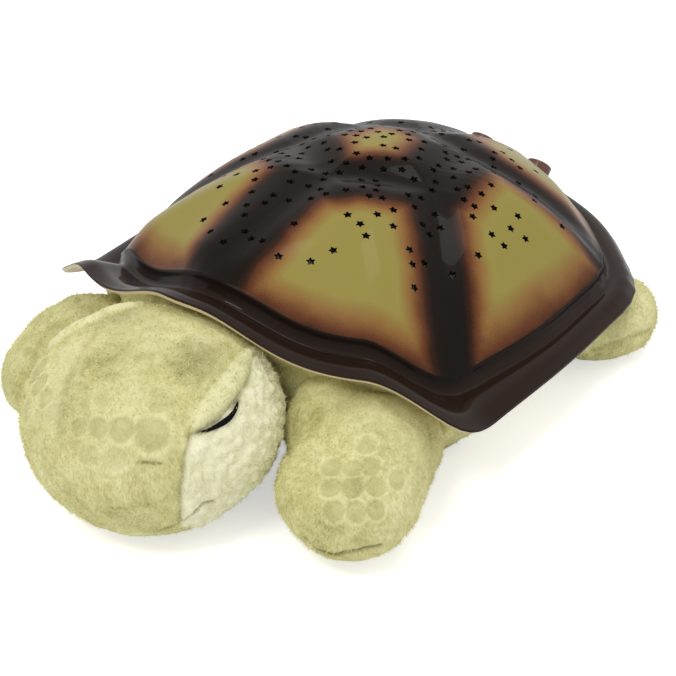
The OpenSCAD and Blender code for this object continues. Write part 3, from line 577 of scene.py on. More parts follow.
shell_paint, tree = new_material("shell_paint")
depth = math_node(tree, "ADD", attribute(tree, "paint"), astray(tree, *WANDER))
depth = math_node(tree, "ADD", depth, astray(tree, *MIST))
sprayed = ramp(tree, math_node(tree, "DIVIDE", depth, SPRAY_SPAN, clamp=True),
               [(place / SPRAY_SPAN, rgb(*colour)) for place, colour in SPRAY])
sprayed = mix_colour(tree, attribute(tree, "brim"), sprayed, BRIM_PAINT)
coat = math_node(tree, "MULTIPLY_ADD", attribute(tree, "brim"), BRIM_COAT_MORE)
coat.node.inputs[2].default_value = DOME_COAT
surface(tree, Base_Color=sprayed, Roughness=0.3, Specular_IOR_Level=0.03, Coat_Weight=coat,
        Coat_Roughness=0.06, Coat_IOR=1.3)

shell_bare, tree = new_material("shell_bare")
surface(tree, Base_Color=rgb(222, 205, 172), Roughness=0.45)

# the walls of the star holes: painted shade, dark as the shell's inside that shows through them
star_wall_shade, tree = new_material("star_hole_shade")
surface(tree, Base_Color=rgb(30, 24, 20), Roughness=0.5)
print("paint stops, in mm from a sprayed line:", [place for place, colour in SPRAY])

# %% Shell, closed mesh
direction = plan(1.0, phi)
rings = [np.column_stack([direction * profile[:, k, :1] + [0, SHELL_Y], profile[:, k, 1]])
         for k in range(profile.shape[1])]
points = np.concatenate([[[0, SHELL_Y, crown]], *rings, [[0, SHELL_Y, crown - WALL]]])
shell_faces = ring_faces(len(rings), MERIDIANS)
shell = mesh_object("shell_moulding", points, shell_faces, (shell_paint, shell_bare))
painted_end = 1 + (outer.shape[1] + 1) * MERIDIANS
for face in shell.data.polygons:
    face.material_index = int(max(face.vertices) >= painted_end)
print("shell points:", len(points))

# %% [markdown]
# ## Shell: bosses, button holes and stars
# Four bosses under the dome take the screws, and three round holes take the buttons. Then come the
# stars. There are hundreds, all alike, so Geometry Nodes strew them: points on the skin at least one
# star apart, each with a short star-shaped bar turned square to the skin. Cutting the bars out of the
# wall leaves true holes, and the wall of a hole, where no paint reaches, keeps the bar's dark colour: a
# painted shade for the dark inside of the shell.
# An image of stars would have been quicker, but it would lose its edge in a close view.

# %% Screw bosses
BOSS_ANGLES = (40, 140, 220, 320)
BOSS_RHO = 0.8
BOSS_D = 9.0
BOSS_L = 12.0
BOSS_WELD = 1.8
BORE_D = 3.3
BORE_SHORT = 4.0
CUT_PAST = 1.0


def bar(name, profile_mm, sides=32):
    """A closed turned bar along +Z: profile_mm is (radius, height) from the foot up."""
    turn = np.radians(np.arange(sides) * 360 / sides)
    round_it = [np.column_stack([r * np.cos(turn), -r * np.sin(turn), np.full(sides, z)])
                for r, z in profile_mm]
    pts = np.concatenate([[[0, 0, profile_mm[0][1]]], *round_it, [[0, 0, profile_mm[-1][1]]]])
    return mesh_object(name, pts, ring_faces(len(round_it), sides))


def lining_height(reach_mm, angle):
    """Height of the dome's inner face over a place in plan."""
    column = lining[int(angle) * MERIDIANS // 360, :DOME_RINGS]
    return float(np.interp(reach_mm, column[:, 0], column[:, 1]))


for angle in BOSS_ANGLES:
    out = BOSS_RHO * float(foot_reach(angle))
    top = lining_height(out + BOSS_D / 2, angle)
    x, y = plan(out, angle)
    for radius, operation, low, high in ((BOSS_D / 2, "UNION", 0, BOSS_WELD),
                                         (BORE_D / 2, "DIFFERENCE", -CUT_PAST, -BORE_SHORT)):
        rod = bar("rod", [(radius, top - BOSS_L + low), (radius, top + high)])
        move_points(rod, points_of(rod) + [x, y + SHELL_Y, 0])
        cut(shell, rod, operation)
print("bosses:", len(BOSS_ANGLES))

# %% Button holes, square to the slope that the buttons stand on
BUTTONS = ("button_amber", "button_blue", "button_green")
TILT = math.radians(45)
SLOPE = np.array([[1, 0, 0], [0, math.cos(TILT), -math.sin(TILT)], [0, math.sin(TILT), math.cos(TILT)]])
HOLE_D = 14.6
DRILL_IN = 16.0
DRILL_OUT = 9.0
DRILL_SIDES = 64


def slope_box(node):
    """Middle of a node across the slope, and its highest reach along the buttons' axis."""
    co = np.array([v.co for v in frame["nodes"][node].data.vertices]) / MM @ SLOPE.T
    low, high = co.min(0), co.max(0)
    return (low + high)[:2] / 2, high[2]


for node in BUTTONS:
    middle, high = slope_box(node)
    drill = bar("drill", [(HOLE_D / 2, high - DRILL_IN), (HOLE_D / 2, high + DRILL_OUT)], DRILL_SIDES)
    move_points(drill, (points_of(drill) + [*middle, 0]) @ SLOPE)
    cut(shell, drill)
print("shell with holes:", len(shell.data.vertices), "points")

# %% Geometry Nodes helpers
SOCKETS = {float: "NodeSocketFloat", int: "NodeSocketInt", bpy.types.Material: "NodeSocketMaterial"}


def geometry_tree(name, inputs):
    """A Geometry Nodes tree with these inputs: its nodes for input and output, and each input's key."""
    tree = bpy.data.node_groups.new(name, "GeometryNodeTree")
    tree.interface.new_socket(name="Geometry", in_out="INPUT", socket_type="NodeSocketGeometry")
    keys = {}
    for label, value in inputs.items():
        socket = tree.interface.new_socket(name=label, in_out="INPUT", socket_type=SOCKETS[type(value)])
        socket.default_value = value
        keys[label] = socket.identifier
    tree.interface.new_socket(name="Geometry", in_out="OUTPUT", socket_type="NodeSocketGeometry")
    return tree, tree.nodes.new("NodeGroupInput"), tree.nodes.new("NodeGroupOutput"), keys


def place_on_points(tree, result, strew, shape, turn, material, **more):
    """Ends a tree: the shape on every strewn point, turned there by X, Y and Z, real, with a material."""
    by = add(tree, "ShaderNodeCombineXYZ", turn)
    turned = add(tree, "FunctionNodeRotateRotation", {"Rotation": strew.outputs["Rotation"],
                                                      "Rotate By": by.outputs[0]}, rotation_space="LOCAL")
    placed = add(tree, "GeometryNodeInstanceOnPoints", {"Points": strew.outputs["Points"], "Instance": shape,
                                                        "Rotation": turned.outputs[0], **more})
    real = add(tree, "GeometryNodeRealizeInstances", {"Geometry": placed.outputs[0]})
    finish = add(tree, "GeometryNodeSetMaterial", {"Geometry": real.outputs[0], "Material": material})
    tree.links.new(finish.outputs[0], result.inputs["Geometry"])


def strewn(piece, tree, keys, values):
    """Runs a tree on the piece, each input set by its key, and keeps what it makes as a plain mesh."""
    change = piece.modifiers.new(tree.name, "NODES")
    change.node_group = tree
    for label, value in values.items():
        change[keys[label]] = value
    return baked(piece)


# %% Star-shaped bars
STARS = {"Outer radius": 2.4 * MM, "Inner radius": 1.35 * MM, "Apart": 5.8 * MM, "Density": 22000.0,
         "Below": 5 * MM, "Above": 2 * MM, "Seed": 6}
STAR_TIPS = 5


def star_bars_tree(material):
    """Strews star-shaped bars over a skin, square to it and at least a set distance apart."""
    tree, given, result, keys = geometry_tree("strewn_stars", STARS)
    room = add(tree, "GeometryNodeInputNamedAttribute", {"Name": "star_room"}, data_type="FLOAT")
    strew = add(tree, "GeometryNodeDistributePointsOnFaces",
                {"Mesh": given.outputs["Geometry"], "Distance Min": given.outputs["Apart"],
                 "Density Max": given.outputs["Density"], "Density Factor": room.outputs[0],
                 "Seed": given.outputs["Seed"]}, distribute_method="POISSON")
    star = add(tree, "GeometryNodeCurveStar", {"Points": STAR_TIPS,
                                               "Inner Radius": given.outputs["Inner radius"],
                                               "Outer Radius": given.outputs["Outer radius"]})
    down = math_node(tree, "MULTIPLY", given.outputs["Below"], -1.0)
    foot = add(tree, "ShaderNodeCombineXYZ", {"Z": down})
    head = add(tree, "ShaderNodeCombineXYZ", {"Z": given.outputs["Above"]})
    axis = add(tree, "GeometryNodeCurvePrimitiveLine", {"Start": foot.outputs[0], "End": head.outputs[0]})
    rod = add(tree, "GeometryNodeCurveToMesh", {"Curve": axis.outputs[0], "Profile Curve": star.outputs[0],
                                                "Fill Caps": True})
    spin = add(tree, "FunctionNodeRandomValue", {"Seed": given.outputs["Seed"]}, data_type="FLOAT")
    spin.inputs[3].default_value = 2 * math.pi
    place_on_points(tree, result, strew, rod.outputs[0], {"Z": spin.outputs[1]}, material)
    return tree, keys


print("star holes:", round(2 * STARS["Outer radius"] / MM, 1), "mm wide")

# %% Cut the stars
BUTTON_CLEAR = 12.0
# share of the stars low on the dome, and how many more towards the crown: where that starts, and over what
LOW_SHARE, CROWN_MORE = 0.5, 0.6
CROWN_FROM, CROWN_OVER = 0.6, 0.3
STARS_TO, STARS_FADE = 0.86, 0.12


def shell_coordinates(points_mm):
    """Reach as a share of the dome's foot, and degrees from the front, of points on the shell."""
    x, y = points_mm[:, 0], points_mm[:, 1] - SHELL_Y
    phi = np.degrees(np.arctan2(x, -y))
    return np.hypot(x, y) / foot_reach(phi), phi


def set_attribute(piece, name, values):
    old = piece.data.attributes.get(name)
    if old:
        piece.data.attributes.remove(old)
    made = piece.data.attributes.new(name, "FLOAT", "POINT")
    made.data.foreach_set("value", np.asarray(values, np.float32))


patch_end = 1 + (DOME_RINGS - 2) * MERIDIANS
patch = mesh_object("star_patch", points[:patch_end], [f for f in shell_faces if max(f) < patch_end])
at = points_of(patch)
rho_at, _ = shell_coordinates(at)
room = np.clip(LOW_SHARE + CROWN_MORE * ease((CROWN_FROM - rho_at) / CROWN_OVER), 0, 1)
room *= ease((STARS_TO - rho_at) / STARS_FADE)
for node in BUTTONS:
    middle, _ = slope_box(node)
    room *= np.linalg.norm((at @ SLOPE.T)[:, :2] - middle, axis=1) > BUTTON_CLEAR
set_attribute(patch, "star_room", room)
strewn(patch, *star_bars_tree(star_wall_shade), STARS)
print("stars:", len(patch.data.vertices) // (4 * STAR_TIPS))
cut(shell, patch)

# %% Keep what the paint needs
FOOT_END = 1.008
BRIM_FADE = 0.03
CREASE = 30
at = points_of(shell)
rho_at, phi_at = shell_coordinates(at)
gap = spray_gap(at, (1 - rho_at) * foot_reach(phi_at))
set_attribute(shell, "paint", np.where(rho_at < FOOT_END, gap, 0))
set_attribute(shell, "brim", ease((rho_at - 1) / BRIM_FADE))
smooth(shell, CREASE)
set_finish(shell, "shell_plastic")
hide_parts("shell")
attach(shell, "case")
print("shell:", len(shell.data.polygons), "faces, slots", [m.name for m in shell.data.materials])

# %% [markdown]
# ## Stuffed parts: sewn, filled and pressed
# The real turtle is short-pile velour sewn from flat cuts and filled with fibre. Each part here goes the
# same way: the plain solid is wrapped in an even net, a cloth simulation blows it up from inside so that
# the fabric finds its own pillow shape, and then seams, folds and the rows of pressed pads are worked
# into the fine mesh. The pads are drawn by where they show from the front, and are cast onto the skin;
# each has a twin on the other side. Modelling them by hand would not have kept both sides alike.

# %% Wrap and fill
FILL_FRAMES = 20
VELOUR = {"quality": 5, "mass": 0.2, "tension_stiffness": 12, "compression_stiffness": 12,
          "shear_stiffness": 8, "bending_stiffness": 0.3, "shrink_min": -0.04, "use_pressure": True,
          "uniform_pressure_force": 4.0}


def merged(name, *pieces):
    """One object with the meshes of these pieces."""
    bm = bmesh.new()
    for piece in pieces:
        bm.from_mesh(piece.data)
    mesh = bpy.data.meshes.new(name)
    bm.to_mesh(mesh)
    bm.free()
    made = bpy.data.objects.new(name, mesh)
    bpy.context.scene.collection.objects.link(made)
    return made


def wrapped(piece, size_mm):
    """An even net of this size over the piece."""
    change = piece.modifiers.new("wrap", "REMESH")
    change.mode = "VOXEL"
    change.voxel_size = size_mm * MM
    return baked(piece)


def normals_of(piece):
    out = np.empty(len(piece.data.vertices) * 3)
    piece.data.vertices.foreach_get("normal", out)
    return out.reshape(-1, 3)


def finer(piece, levels):
    change = piece.modifiers.new("finer", "SUBSURF")
    change.levels = levels
    change.render_levels = levels
    return baked(piece)


def filled(piece, shrink_mm, cap_mm):
    """Cloth blown up from inside. It starts shrink_mm smaller, and no point ends cap_mm from the start."""
    start = points_of(piece)
    move_points(piece, start - normals_of(piece) * shrink_mm)
    change = piece.modifiers.new("fill", "CLOTH")
    for key, value in VELOUR.items():
        setattr(change.settings, key, value)
    change.settings.effector_weights.gravity = 0
    change.collision_settings.use_collision = False
    for step in range(1, FILL_FRAMES + 1):
        bpy.context.scene.frame_set(step)
    baked(piece)
    bpy.context.scene.frame_set(1)
    shift = points_of(piece) - start
    length = np.linalg.norm(shift, axis=1, keepdims=True)
    now = start + shift * np.minimum(1, cap_mm / np.maximum(length, 1e-6))
    now[:, 2] = np.maximum(now[:, 2], start[:, 2].min())
    move_points(piece, now)
    print(piece.name, "filled, mean shift", round(float(length.mean()), 2), "mm")
    return piece


print("frames of filling:", FILL_FRAMES)

# %% From points to the view's pixels, and back to the skin
PX_PER_MM = FOCAL_PX / (DISTANCE / MM)
CAMERA_MM = np.array(LOOK_AT + view_back * DISTANCE) / MM
BACK = np.array(view_back)
RIGHT = np.array(Vector((0, 0, 1)).cross(view_back).normalized())
UP = np.cross(BACK, RIGHT)
FAR = 1e9


def to_px(points_mm):
    """Where points show, in pixels of the square view."""
    d = points_mm - CAMERA_MM
    depth = -(d @ BACK)
    return np.stack([VIEW_PX / 2 + FOCAL_PX * (d @ RIGHT) / depth,
                     VIEW_PX / 2 - FOCAL_PX * (d @ UP) / depth], -1)


def net_of(piece, points_mm=None):
    """The piece's faces for casting on, also with points that aren't in its mesh yet."""
    at = points_of(piece) if points_mm is None else points_mm
    return BVHTree.FromPolygons(at.tolist(), [tuple(f.vertices) for f in piece.data.polygons])


def cast(net, spots_px):
    """The places on the skin that show at these pixels, and the skin's normals there."""
    found = []
    for u, v in spots_px:
        ray = -BACK * FOCAL_PX + RIGHT * (u - VIEW_PX / 2) - UP * (v - VIEW_PX / 2)
        place, normal, _, _ = net.ray_cast(Vector(CAMERA_MM), Vector(ray).normalized())
        if place is not None:
            found.append((np.array(place), np.array(normal)))
    return found


print("on the toy a millimetre is", round(PX_PER_MM, 2), "pixels")


# %% Lines and outlines
def line_distance(points_mm, places):
    """Distance of points from a line through these places."""
    best = np.full(len(points_mm), FAR)
    for a, b in zip(places[:-1], places[1:]):
        d = b - a
        t = np.clip((points_mm - a) @ d / max(d @ d, 1e-9), 0, 1)
        best = np.minimum(best, np.linalg.norm(points_mm - a - t[:, None] * d, axis=1))
    return best


def fine(spots, step=6):
    """The line through these pixels with more points on it."""
    out = []
    for (u0, v0), (u1, v1) in zip(spots[:-1], spots[1:]):
        n = max(1, int(math.hypot(u1 - u0, v1 - v0) / step))
        out += [(u0 + (u1 - u0) * k / n, v0 + (v1 - v0) * k / n) for k in range(n)]
    return out + [spots[-1]]


def inside(px, corners):
    """Signed distance in pixels from the border of a polygon, above zero inside."""
    corners = np.array(corners, float)
    after = np.roll(corners, -1, 0)
    odd = np.zeros(len(px), bool)
    best = np.full(len(px), FAR)
    for a, b in zip(corners, after):
        d = b - a
        best = np.minimum(best, line_gap(px, a, b))
        crosses = (a[1] > px[:, 1]) != (b[1] > px[:, 1])
        odd ^= crosses & (px[:, 0] < d[0] * (px[:, 1] - a[1]) / (d[1] if d[1] else 1e-9) + a[0])
    return np.where(odd, best, -best)


# %% Unevenness of stuffed cloth
PEBBLE_REACH = 0.62


def ripple(points_mm, size_mm, seed=0.0):
    """Smooth noise from -1 to 1 with features of this size."""
    return np.array([noise.noise(Vector(p) / size_mm + Vector((seed, seed, seed))) for p in points_mm])


def swell(points_mm, *waves):
    """Sum of ripples, each a height and a size in millimetres."""
    return sum(height * ripple(points_mm, size) for height, size in waves)


def pebbles(points_mm, size_mm):
    """Round bumps of about this size, 0 between them and 1 at their tops."""
    near = np.array([noise.voronoi(Vector(p) / size_mm)[0][0] for p in points_mm])
    return np.clip(1 - (near / PEBBLE_REACH) ** 2, 0, 1)


# %% The head's two sides, and the room below the shell
HEAD_MIDDLE = np.array([3.5, -145.0, 0.0])
HEAD_TURN = math.radians(-5)
HEAD_SIDE = np.array([math.cos(HEAD_TURN), math.sin(HEAD_TURN), 0.0])


def head_side(points_mm):
    """How far points are on the left side of the head's middle plane."""
    return (points_mm - HEAD_MIDDLE) @ HEAD_SIDE


def other_side(points_mm):
    """Points mirrored in the head's middle plane."""
    return points_mm - 2 * head_side(points_mm)[..., None] * HEAD_SIDE


def turned_over(directions):
    """Directions mirrored in the head's middle plane."""
    return directions - 2 * (directions @ HEAD_SIDE)[..., None] * HEAD_SIDE


def room_below_shell(points_mm):
    """How high each point may stand: the shell's underside, or no limit beyond the brim."""
    x, y = points_mm[:, 0], points_mm[:, 1] - SHELL_Y
    turn = np.round(np.degrees(np.arctan2(x, -y)) * MERIDIANS / 360).astype(int) % MERIDIANS
    out = np.hypot(x, y)
    limit = np.full(len(out), FAR)
    for k in np.unique(turn):
        here = np.flatnonzero(turn == k)
        limit[here] = np.interp(out[here], inner[k, 1:, 0], inner[k, 1:, 1], right=FAR)
    return limit


# %% A skin that is being worked
SHELL_ROOM = 0.5
LEAST_ROOM = 0.1
LOWEST = 0.05
GROOVE_WIDE = 1.6
STITCH_WIDE = 0.7
# how far past its edge of sight skin still counts as seen, and over how much that fades in
BOTH_SIDES_SEEN = (0.25, 0.3)
OWN_SIDE_SEEN = (0.1, 0.2)
# pressed pads, in millimetres or in shares of a pad's radius
PAD_REACH = 14.0
PAD_FACING = 0.2
PAD_EDGE = 0.2
PAD_DEEP = 0.7
PAD_PROUD = 0.8
PAD_WOBBLE = 0.1
PAD_WOBBLE_SIZE = 5.0
RIM_AT, RIM_WIDE = 1.12, 0.16
# how high the rim stands, and how much lighter it is drawn
RIM_RISE, RIM_LIGHTER = 0.4, 0.6


def towards_camera(normals, past, soft):
    """1 where the skin faces the camera, and 0 from where it faces away by more than past."""
    return ease((normals @ BACK + past) / soft)


class Skin:
    """A stuffed piece that is being worked: its points, and the masks that its finish reads."""

    def __init__(self, piece, twin=False):
        self.piece, self.net = piece, net_of(piece)
        self.points, self.normals = points_of(piece), normals_of(piece)
        self.masks = {name: np.zeros(len(self.points)) for name in ("pale", "pressed_and_shade", "seam", "paler_and_highlight")}
        self.lift = np.zeros(len(self.points))
        # where each point shows, or where its twin on the near side does
        self.shown, self.facing = self.points.copy(), self.normals.copy()
        if twin:
            far = head_side(self.points) < 0
            self.shown[far] = other_side(self.points[far])
            self.facing[far] = turned_over(self.normals[far])
        self.px = to_px(self.shown)
        self.front = towards_camera(self.facing, *BOTH_SIDES_SEEN)

    def moved(self, points_mm):
        """Takes new points for the drawing; pads keep to where the skin was before."""
        self.points, self.net, self.px = points_mm, net_of(self.piece, points_mm), to_px(points_mm)

    def add(self, mask, values):
        self.masks[mask] = np.maximum(self.masks[mask], values)

    def near_line(self, spots_px, own=False):
        """Distance in mm of each point from a line drawn in pixels; unless own, on either side alike."""
        places = [place for place, _ in cast(self.net, fine(spots_px))]
        at = self.points if own else self.shown
        return line_distance(at, places) if len(places) > 1 else np.full(len(at), FAR)

    def groove(self, spots_px, deep, wide=GROOVE_WIDE, dark=1.0, own=False):
        """A seam or a fold along a line drawn in pixels: a dent, with painted shade along it."""
        d = self.near_line(spots_px, own)
        self.lift -= deep * bell(d, wide)
        # painted shade along the seam or fold
        self.add("seam", dark * bell(d, wide * STITCH_WIDE))

    def patch(self, corners_px, soft_px, own=False):
        """1 inside a drawn outline and 0 outside, with a soft border."""
        px = to_px(self.points) if own else self.px
        front = towards_camera(self.normals, *OWN_SIDE_SEEN) if own else self.front
        return ease((inside(px, corners_px) + soft_px) / (2 * soft_px)) * front

    def pads(self, spots):
        """Pressed discs with a raised rim: each is (across, down, radius) in pixels and a strength."""
        level, rim, shape = np.zeros((3, len(self.points)))
        for u, v, radius, strength in spots:
            found = cast(self.net, [(u, v)])
            if not found:
                continue
            place, normal = found[0]
            d = self.shown - place
            along = d @ normal
            out = np.linalg.norm(d - along[:, None] * normal, axis=1) / (radius / PX_PER_MM)
            out += PAD_WOBBLE * ripple(self.points, PAD_WOBBLE_SIZE, u)
            near = (np.abs(along) < PAD_REACH) * (self.facing @ normal > PAD_FACING) * strength
            flat = near * ease((1 - out) / PAD_EDGE)
            level = np.maximum(level, flat)
            shape = np.maximum(shape, flat * (1 - out ** 2))
            rim = np.maximum(rim, near * bell(out - RIM_AT, RIM_WIDE))
        rim *= 1 - level
        self.lift += PAD_PROUD * shape - PAD_DEEP * level + RIM_RISE * rim
        self.add("pressed_and_shade", level)
        # the rim is drawn lighter
        self.add("paler_and_highlight", RIM_LIGHTER * rim)

    def done(self, *nodes, body="case", fill=0.8, under_shell=True):
        """Moves the mesh, and gives it its masks, finish and body, and hides the nodes that it stands for.
        """
        piece = self.piece
        at = self.points + self.normals * self.lift[:, None]
        if under_shell:
            at[:, 2] = np.minimum(at[:, 2], np.maximum(room_below_shell(at) - SHELL_ROOM, LEAST_ROOM))
        at[:, 2] = np.maximum(at[:, 2], LOWEST)
        move_points(piece, at)
        for name, values in self.masks.items():
            set_attribute(piece, name, values)
        for face in piece.data.polygons:
            face.use_smooth = True
        piece.data.materials.clear()
        piece.data.materials.append(velour)
        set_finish(piece, "plush")
        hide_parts(*nodes)
        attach(piece, body)
        print(piece.name, len(piece.data.polygons), "faces")


# %% [markdown]
# ## Plush finish
# The velour lies in patches that catch the light or not, with a fine fleck of single hairs. That is one
# node group, used by the olive cloth and the pale one, and it gives a mottle and a height. Hair strands
# would look right from a hand's breadth, but cost minutes and would not carry over to other programs.

# %% Short pile
# waves to the metre and detail; hairs are drawn out along Z
BROAD, PATCHES, HAIRS = (38, 3), (170, 4), (1100, 3)
HAIR_STRETCH = (1, 1, 0.45)
PILE_ROUGH = 0.6
# shares of the broad waves, the patches and the hairs in the mottle, and of the last two in the height
MOTTLE_SHARES = (0.4, 0.3, 0.3)
HEIGHT_SHARES = (0.4, 0.6)


def shader_group(name, inputs, outputs):
    """A node group of plain values: the group, and its nodes for input and output."""
    group = bpy.data.node_groups.new(name, "ShaderNodeTree")
    for label, value in inputs.items():
        socket = group.interface.new_socket(name=label, in_out="INPUT", socket_type="NodeSocketFloat")
        socket.default_value = value
    for label in outputs:
        group.interface.new_socket(name=label, in_out="OUTPUT", socket_type="NodeSocketFloat")
    return group, group.nodes.new("NodeGroupInput"), group.nodes.new("NodeGroupOutput")


def weighted(tree, values, weights):
    """The sum of values times their weights."""
    parts = [math_node(tree, "MULTIPLY", value, weight) for value, weight in zip(values, weights)]
    total = parts[0]
    for part in parts[1:]:
        total = math_node(tree, "ADD", total, part)
    return total


def pile_group():
    """Node group: how light the nap lies, and its height."""
    group, given, result = shader_group("short_pile", {"Scale": 1.0}, ("Mottle", "Height"))
    where = add(group, "ShaderNodeTexCoord")
    scaled = add(group, "ShaderNodeVectorMath", {0: where.outputs["Object"]}, operation="SCALE")
    group.links.new(given.outputs["Scale"], scaled.inputs["Scale"])

    def waves(per_metre, detail, stretch=(1, 1, 1)):
        at = add(group, "ShaderNodeVectorMath", {0: scaled.outputs[0], 1: stretch}, operation="MULTIPLY")
        return add(group, "ShaderNodeTexNoise", {"Vector": at.outputs[0], "Scale": per_metre,
                                                 "Detail": detail, "Roughness": PILE_ROUGH}).outputs["Fac"]

    layers = [waves(*BROAD), waves(*PATCHES), waves(*HAIRS, HAIR_STRETCH)]
    group.links.new(weighted(group, layers, MOTTLE_SHARES), result.inputs["Mottle"])
    group.links.new(weighted(group, layers[1:], HEIGHT_SHARES), result.inputs["Height"])
    return group


print("sizes of patches and hairs:", *(round(1000 / waves, 1) for waves, _ in (PATCHES, HAIRS)), "mm")

# %% Velour
# how light the nap lies, and the colour there
OLIVE = ((0.36, (160, 156, 98)), (0.46, (200, 195, 136)), (0.55, (222, 217, 160)), (0.66, (242, 238, 190)))
PALE = ((0.38, (228, 226, 186)), (0.5, (243, 241, 206)), (0.62, (252, 251, 226)))
# what each mask does to the cloth: the colour that it brings, and how much of it
# the first tint is pressed pads and painted shade, the second lighter cloth and painted highlight, the third
# painted shade in seams and creases
TINTS = (("pressed_and_shade", (184, 181, 124), 0.45), ("paler_and_highlight", (238, 234, 180), 0.6), ("seam", (104, 98, 52), 0.75))
NAP_DEPTH = 0.0011
NAP_BUMP = 0.6

velour, tree = new_material("velour")
pile = add(tree, "ShaderNodeGroup", node_tree=pile_group())
olive, pale = (ramp(tree, pile.outputs["Mottle"], [(place, rgb(*colour)) for place, colour in stops])
               for stops in (OLIVE, PALE))
colour = mix_colour(tree, attribute(tree, "pale"), olive, pale)
for mask, tint, share in TINTS:
    colour = mix_colour(tree, math_node(tree, "MULTIPLY", attribute(tree, mask), share), colour, rgb(*tint))
bump = add(tree, "ShaderNodeBump", {"Strength": NAP_BUMP, "Distance": NAP_DEPTH,
                                    "Height": pile.outputs["Height"]})
surface(tree, Base_Color=colour, Roughness=0.85, Specular_IOR_Level=0.15, Sheen_Weight=0.35,
        Sheen_Roughness=0.4, Sheen_Tint=rgb(240, 236, 190), Normal=bump.outputs[0])
print("velour nodes:", len(tree.nodes))

# %% [markdown]
# ## Head
# A sleeping face: a fold of cloth makes the closed lid, black satin stitch the eye, and curly pale plush
# the cheek below a seam. Pressed pads run over the snout. It could be sculpted with a brush, but a seam
# that is a line of a few points can be moved later, and the far side follows by itself.

# %% Where the face's parts show, in pixels of the square view
CHEEK = ((191, 434), (186, 454), (181, 489), (181, 525), (205, 532), (240, 521), (268, 494), (284, 462),
         (292, 430), (290, 400), (283, 375), (268, 352), (252, 346), (247, 356), (249, 376), (239, 393),
         (219, 418))
LID = ((190, 435), (193, 413), (206, 393), (226, 370), (239, 353), (246, 348), (252, 353), (249, 376),
       (239, 393), (219, 418))
EYE_LINE = ((199, 432), (206, 431.5), (213, 428.5), (220, 425), (226.5, 420.5), (232, 415), (236, 408.5),
            (238.5, 400))
# where each pad shows, its radius, and how deep it is pressed
SNOUT_PADS = ((152, 435, 16, 1.2), (121, 430, 12, 1.1), (98, 428, 9.5, 1.0), (79, 427, 8.5, 0.9),
              (131, 394, 14, 0.5), (158, 400, 12, 0.4), (105, 396, 11, 0.5), (83, 396, 10, 0.4),
              (114, 460, 12, 0.5), (89, 456, 10, 0.5))
CROWN_SEAM = ((122, 298), (104, 316), (90, 338), (76, 362), (66, 381), (59, 410), (58, 440))
CHEEK_SEAM = ((191, 434), (186, 454), (181, 489), (181, 524))
LID_SEAM = ((191, 435), (205, 429), (219, 420), (239, 396), (249, 380))
MOUTH = ((161, 531), (178, 525), (186, 520), (196, 512), (201, 505.5), (214, 503))
SNOUT_CREASE = ((139, 462), (161, 464))
# where a painted highlight stripe runs along the head's top
HIGHLIGHT_STRIPE = ((118, 300), (88, 339), (65, 381), (57, 440), (45, 430), (50, 380), (75, 325), (105, 297))
# where painted shade lies on the brow and the crown
BROW_SHADE = ((173, 345), (205, 338), (226, 350), (222, 372), (196, 386), (176, 374))
CROWN_SHADE = ((118, 318), (165, 312), (172, 350), (150, 385), (100, 390))
print("pads on the snout:", len(SNOUT_PADS), "on each side")

# %% Fill the head
HEAD_NET = 4.5
HEAD_SHRINK = 4.5
HEAD_CAP = 5.0
head = wrapped(merged("plush_head", frame["nodes"]["head"]), HEAD_NET)
finer(filled(head, HEAD_SHRINK, HEAD_CAP), 2)

# %% Work the face
LID_RISE = 3.4
LID_ROUND = 4.0
LID_EDGE = 0.8
LID_PALE, LID_LIGHTER = 0.3, 0.5
CURL_SIZE = 4.6
CURL_RISE = 1.6
CURL_SINK = 0.5
CURL_GAP = 2.5
CURL_SHADE = 0.06
HEAD_WAVES = ((0.5, 9), (0.35, 3.5))
# how strong the painted shade on the brow and the crown is, and the painted highlight stripe
BROW_DARK, CROWN_SHADE_SHARE, STRIPE_HIGHLIGHT = 0.3, 0.5, 0.5
EYE_SHADE = 1.2

skin = Skin(head, twin=True)
cheek = skin.patch(CHEEK, soft_px=1.5)
lid_mm = inside(skin.px, LID) / PX_PER_MM
skin.lift += LID_RISE * np.sqrt(np.clip(lid_mm / LID_ROUND, 0, 1)) * skin.front
lid = ease((lid_mm + LID_EDGE / 2) / LID_EDGE) * skin.front
cheek *= 1 - lid
skin.add("pale", np.maximum(cheek, LID_PALE * lid))
# the lid is drawn lighter
skin.add("paler_and_highlight", LID_LIGHTER * lid)
curls = pebbles(skin.points, CURL_SIZE)
skin.lift += cheek * (CURL_RISE * curls - CURL_SINK)
# painted shade in the hollows between the curls
skin.add("seam", CURL_SHADE * cheek * (1 - ease(curls * CURL_GAP)))
skin.lift += (1 - cheek) * swell(skin.points, *HEAD_WAVES)
skin.pads(SNOUT_PADS)
# painted shade on the brow and the crown, and a painted highlight stripe along the head's top
skin.add("seam", BROW_DARK * skin.patch(BROW_SHADE, soft_px=9))
skin.add("pressed_and_shade", CROWN_SHADE_SHARE * skin.patch(CROWN_SHADE, soft_px=12, own=True))
skin.add("paler_and_highlight", STRIPE_HIGHLIGHT * skin.patch(HIGHLIGHT_STRIPE, soft_px=5, own=True))
skin.groove(CROWN_SEAM, deep=1.0, wide=2.2, dark=0.25, own=True)
skin.groove(CHEEK_SEAM, deep=1.1, wide=1.3, dark=0.5)
skin.groove(MOUTH, deep=1.4, wide=1.2)
skin.groove(SNOUT_CREASE, deep=0.8, wide=0.9)
skin.groove(LID_SEAM, deep=1.3, wide=1.4, dark=0.4)
# painted shade along the closed eye's seam
skin.add("seam", bell(skin.near_line(EYE_LINE), EYE_SHADE))
skin.done("head", "left_eyelid", "right_eyelid")

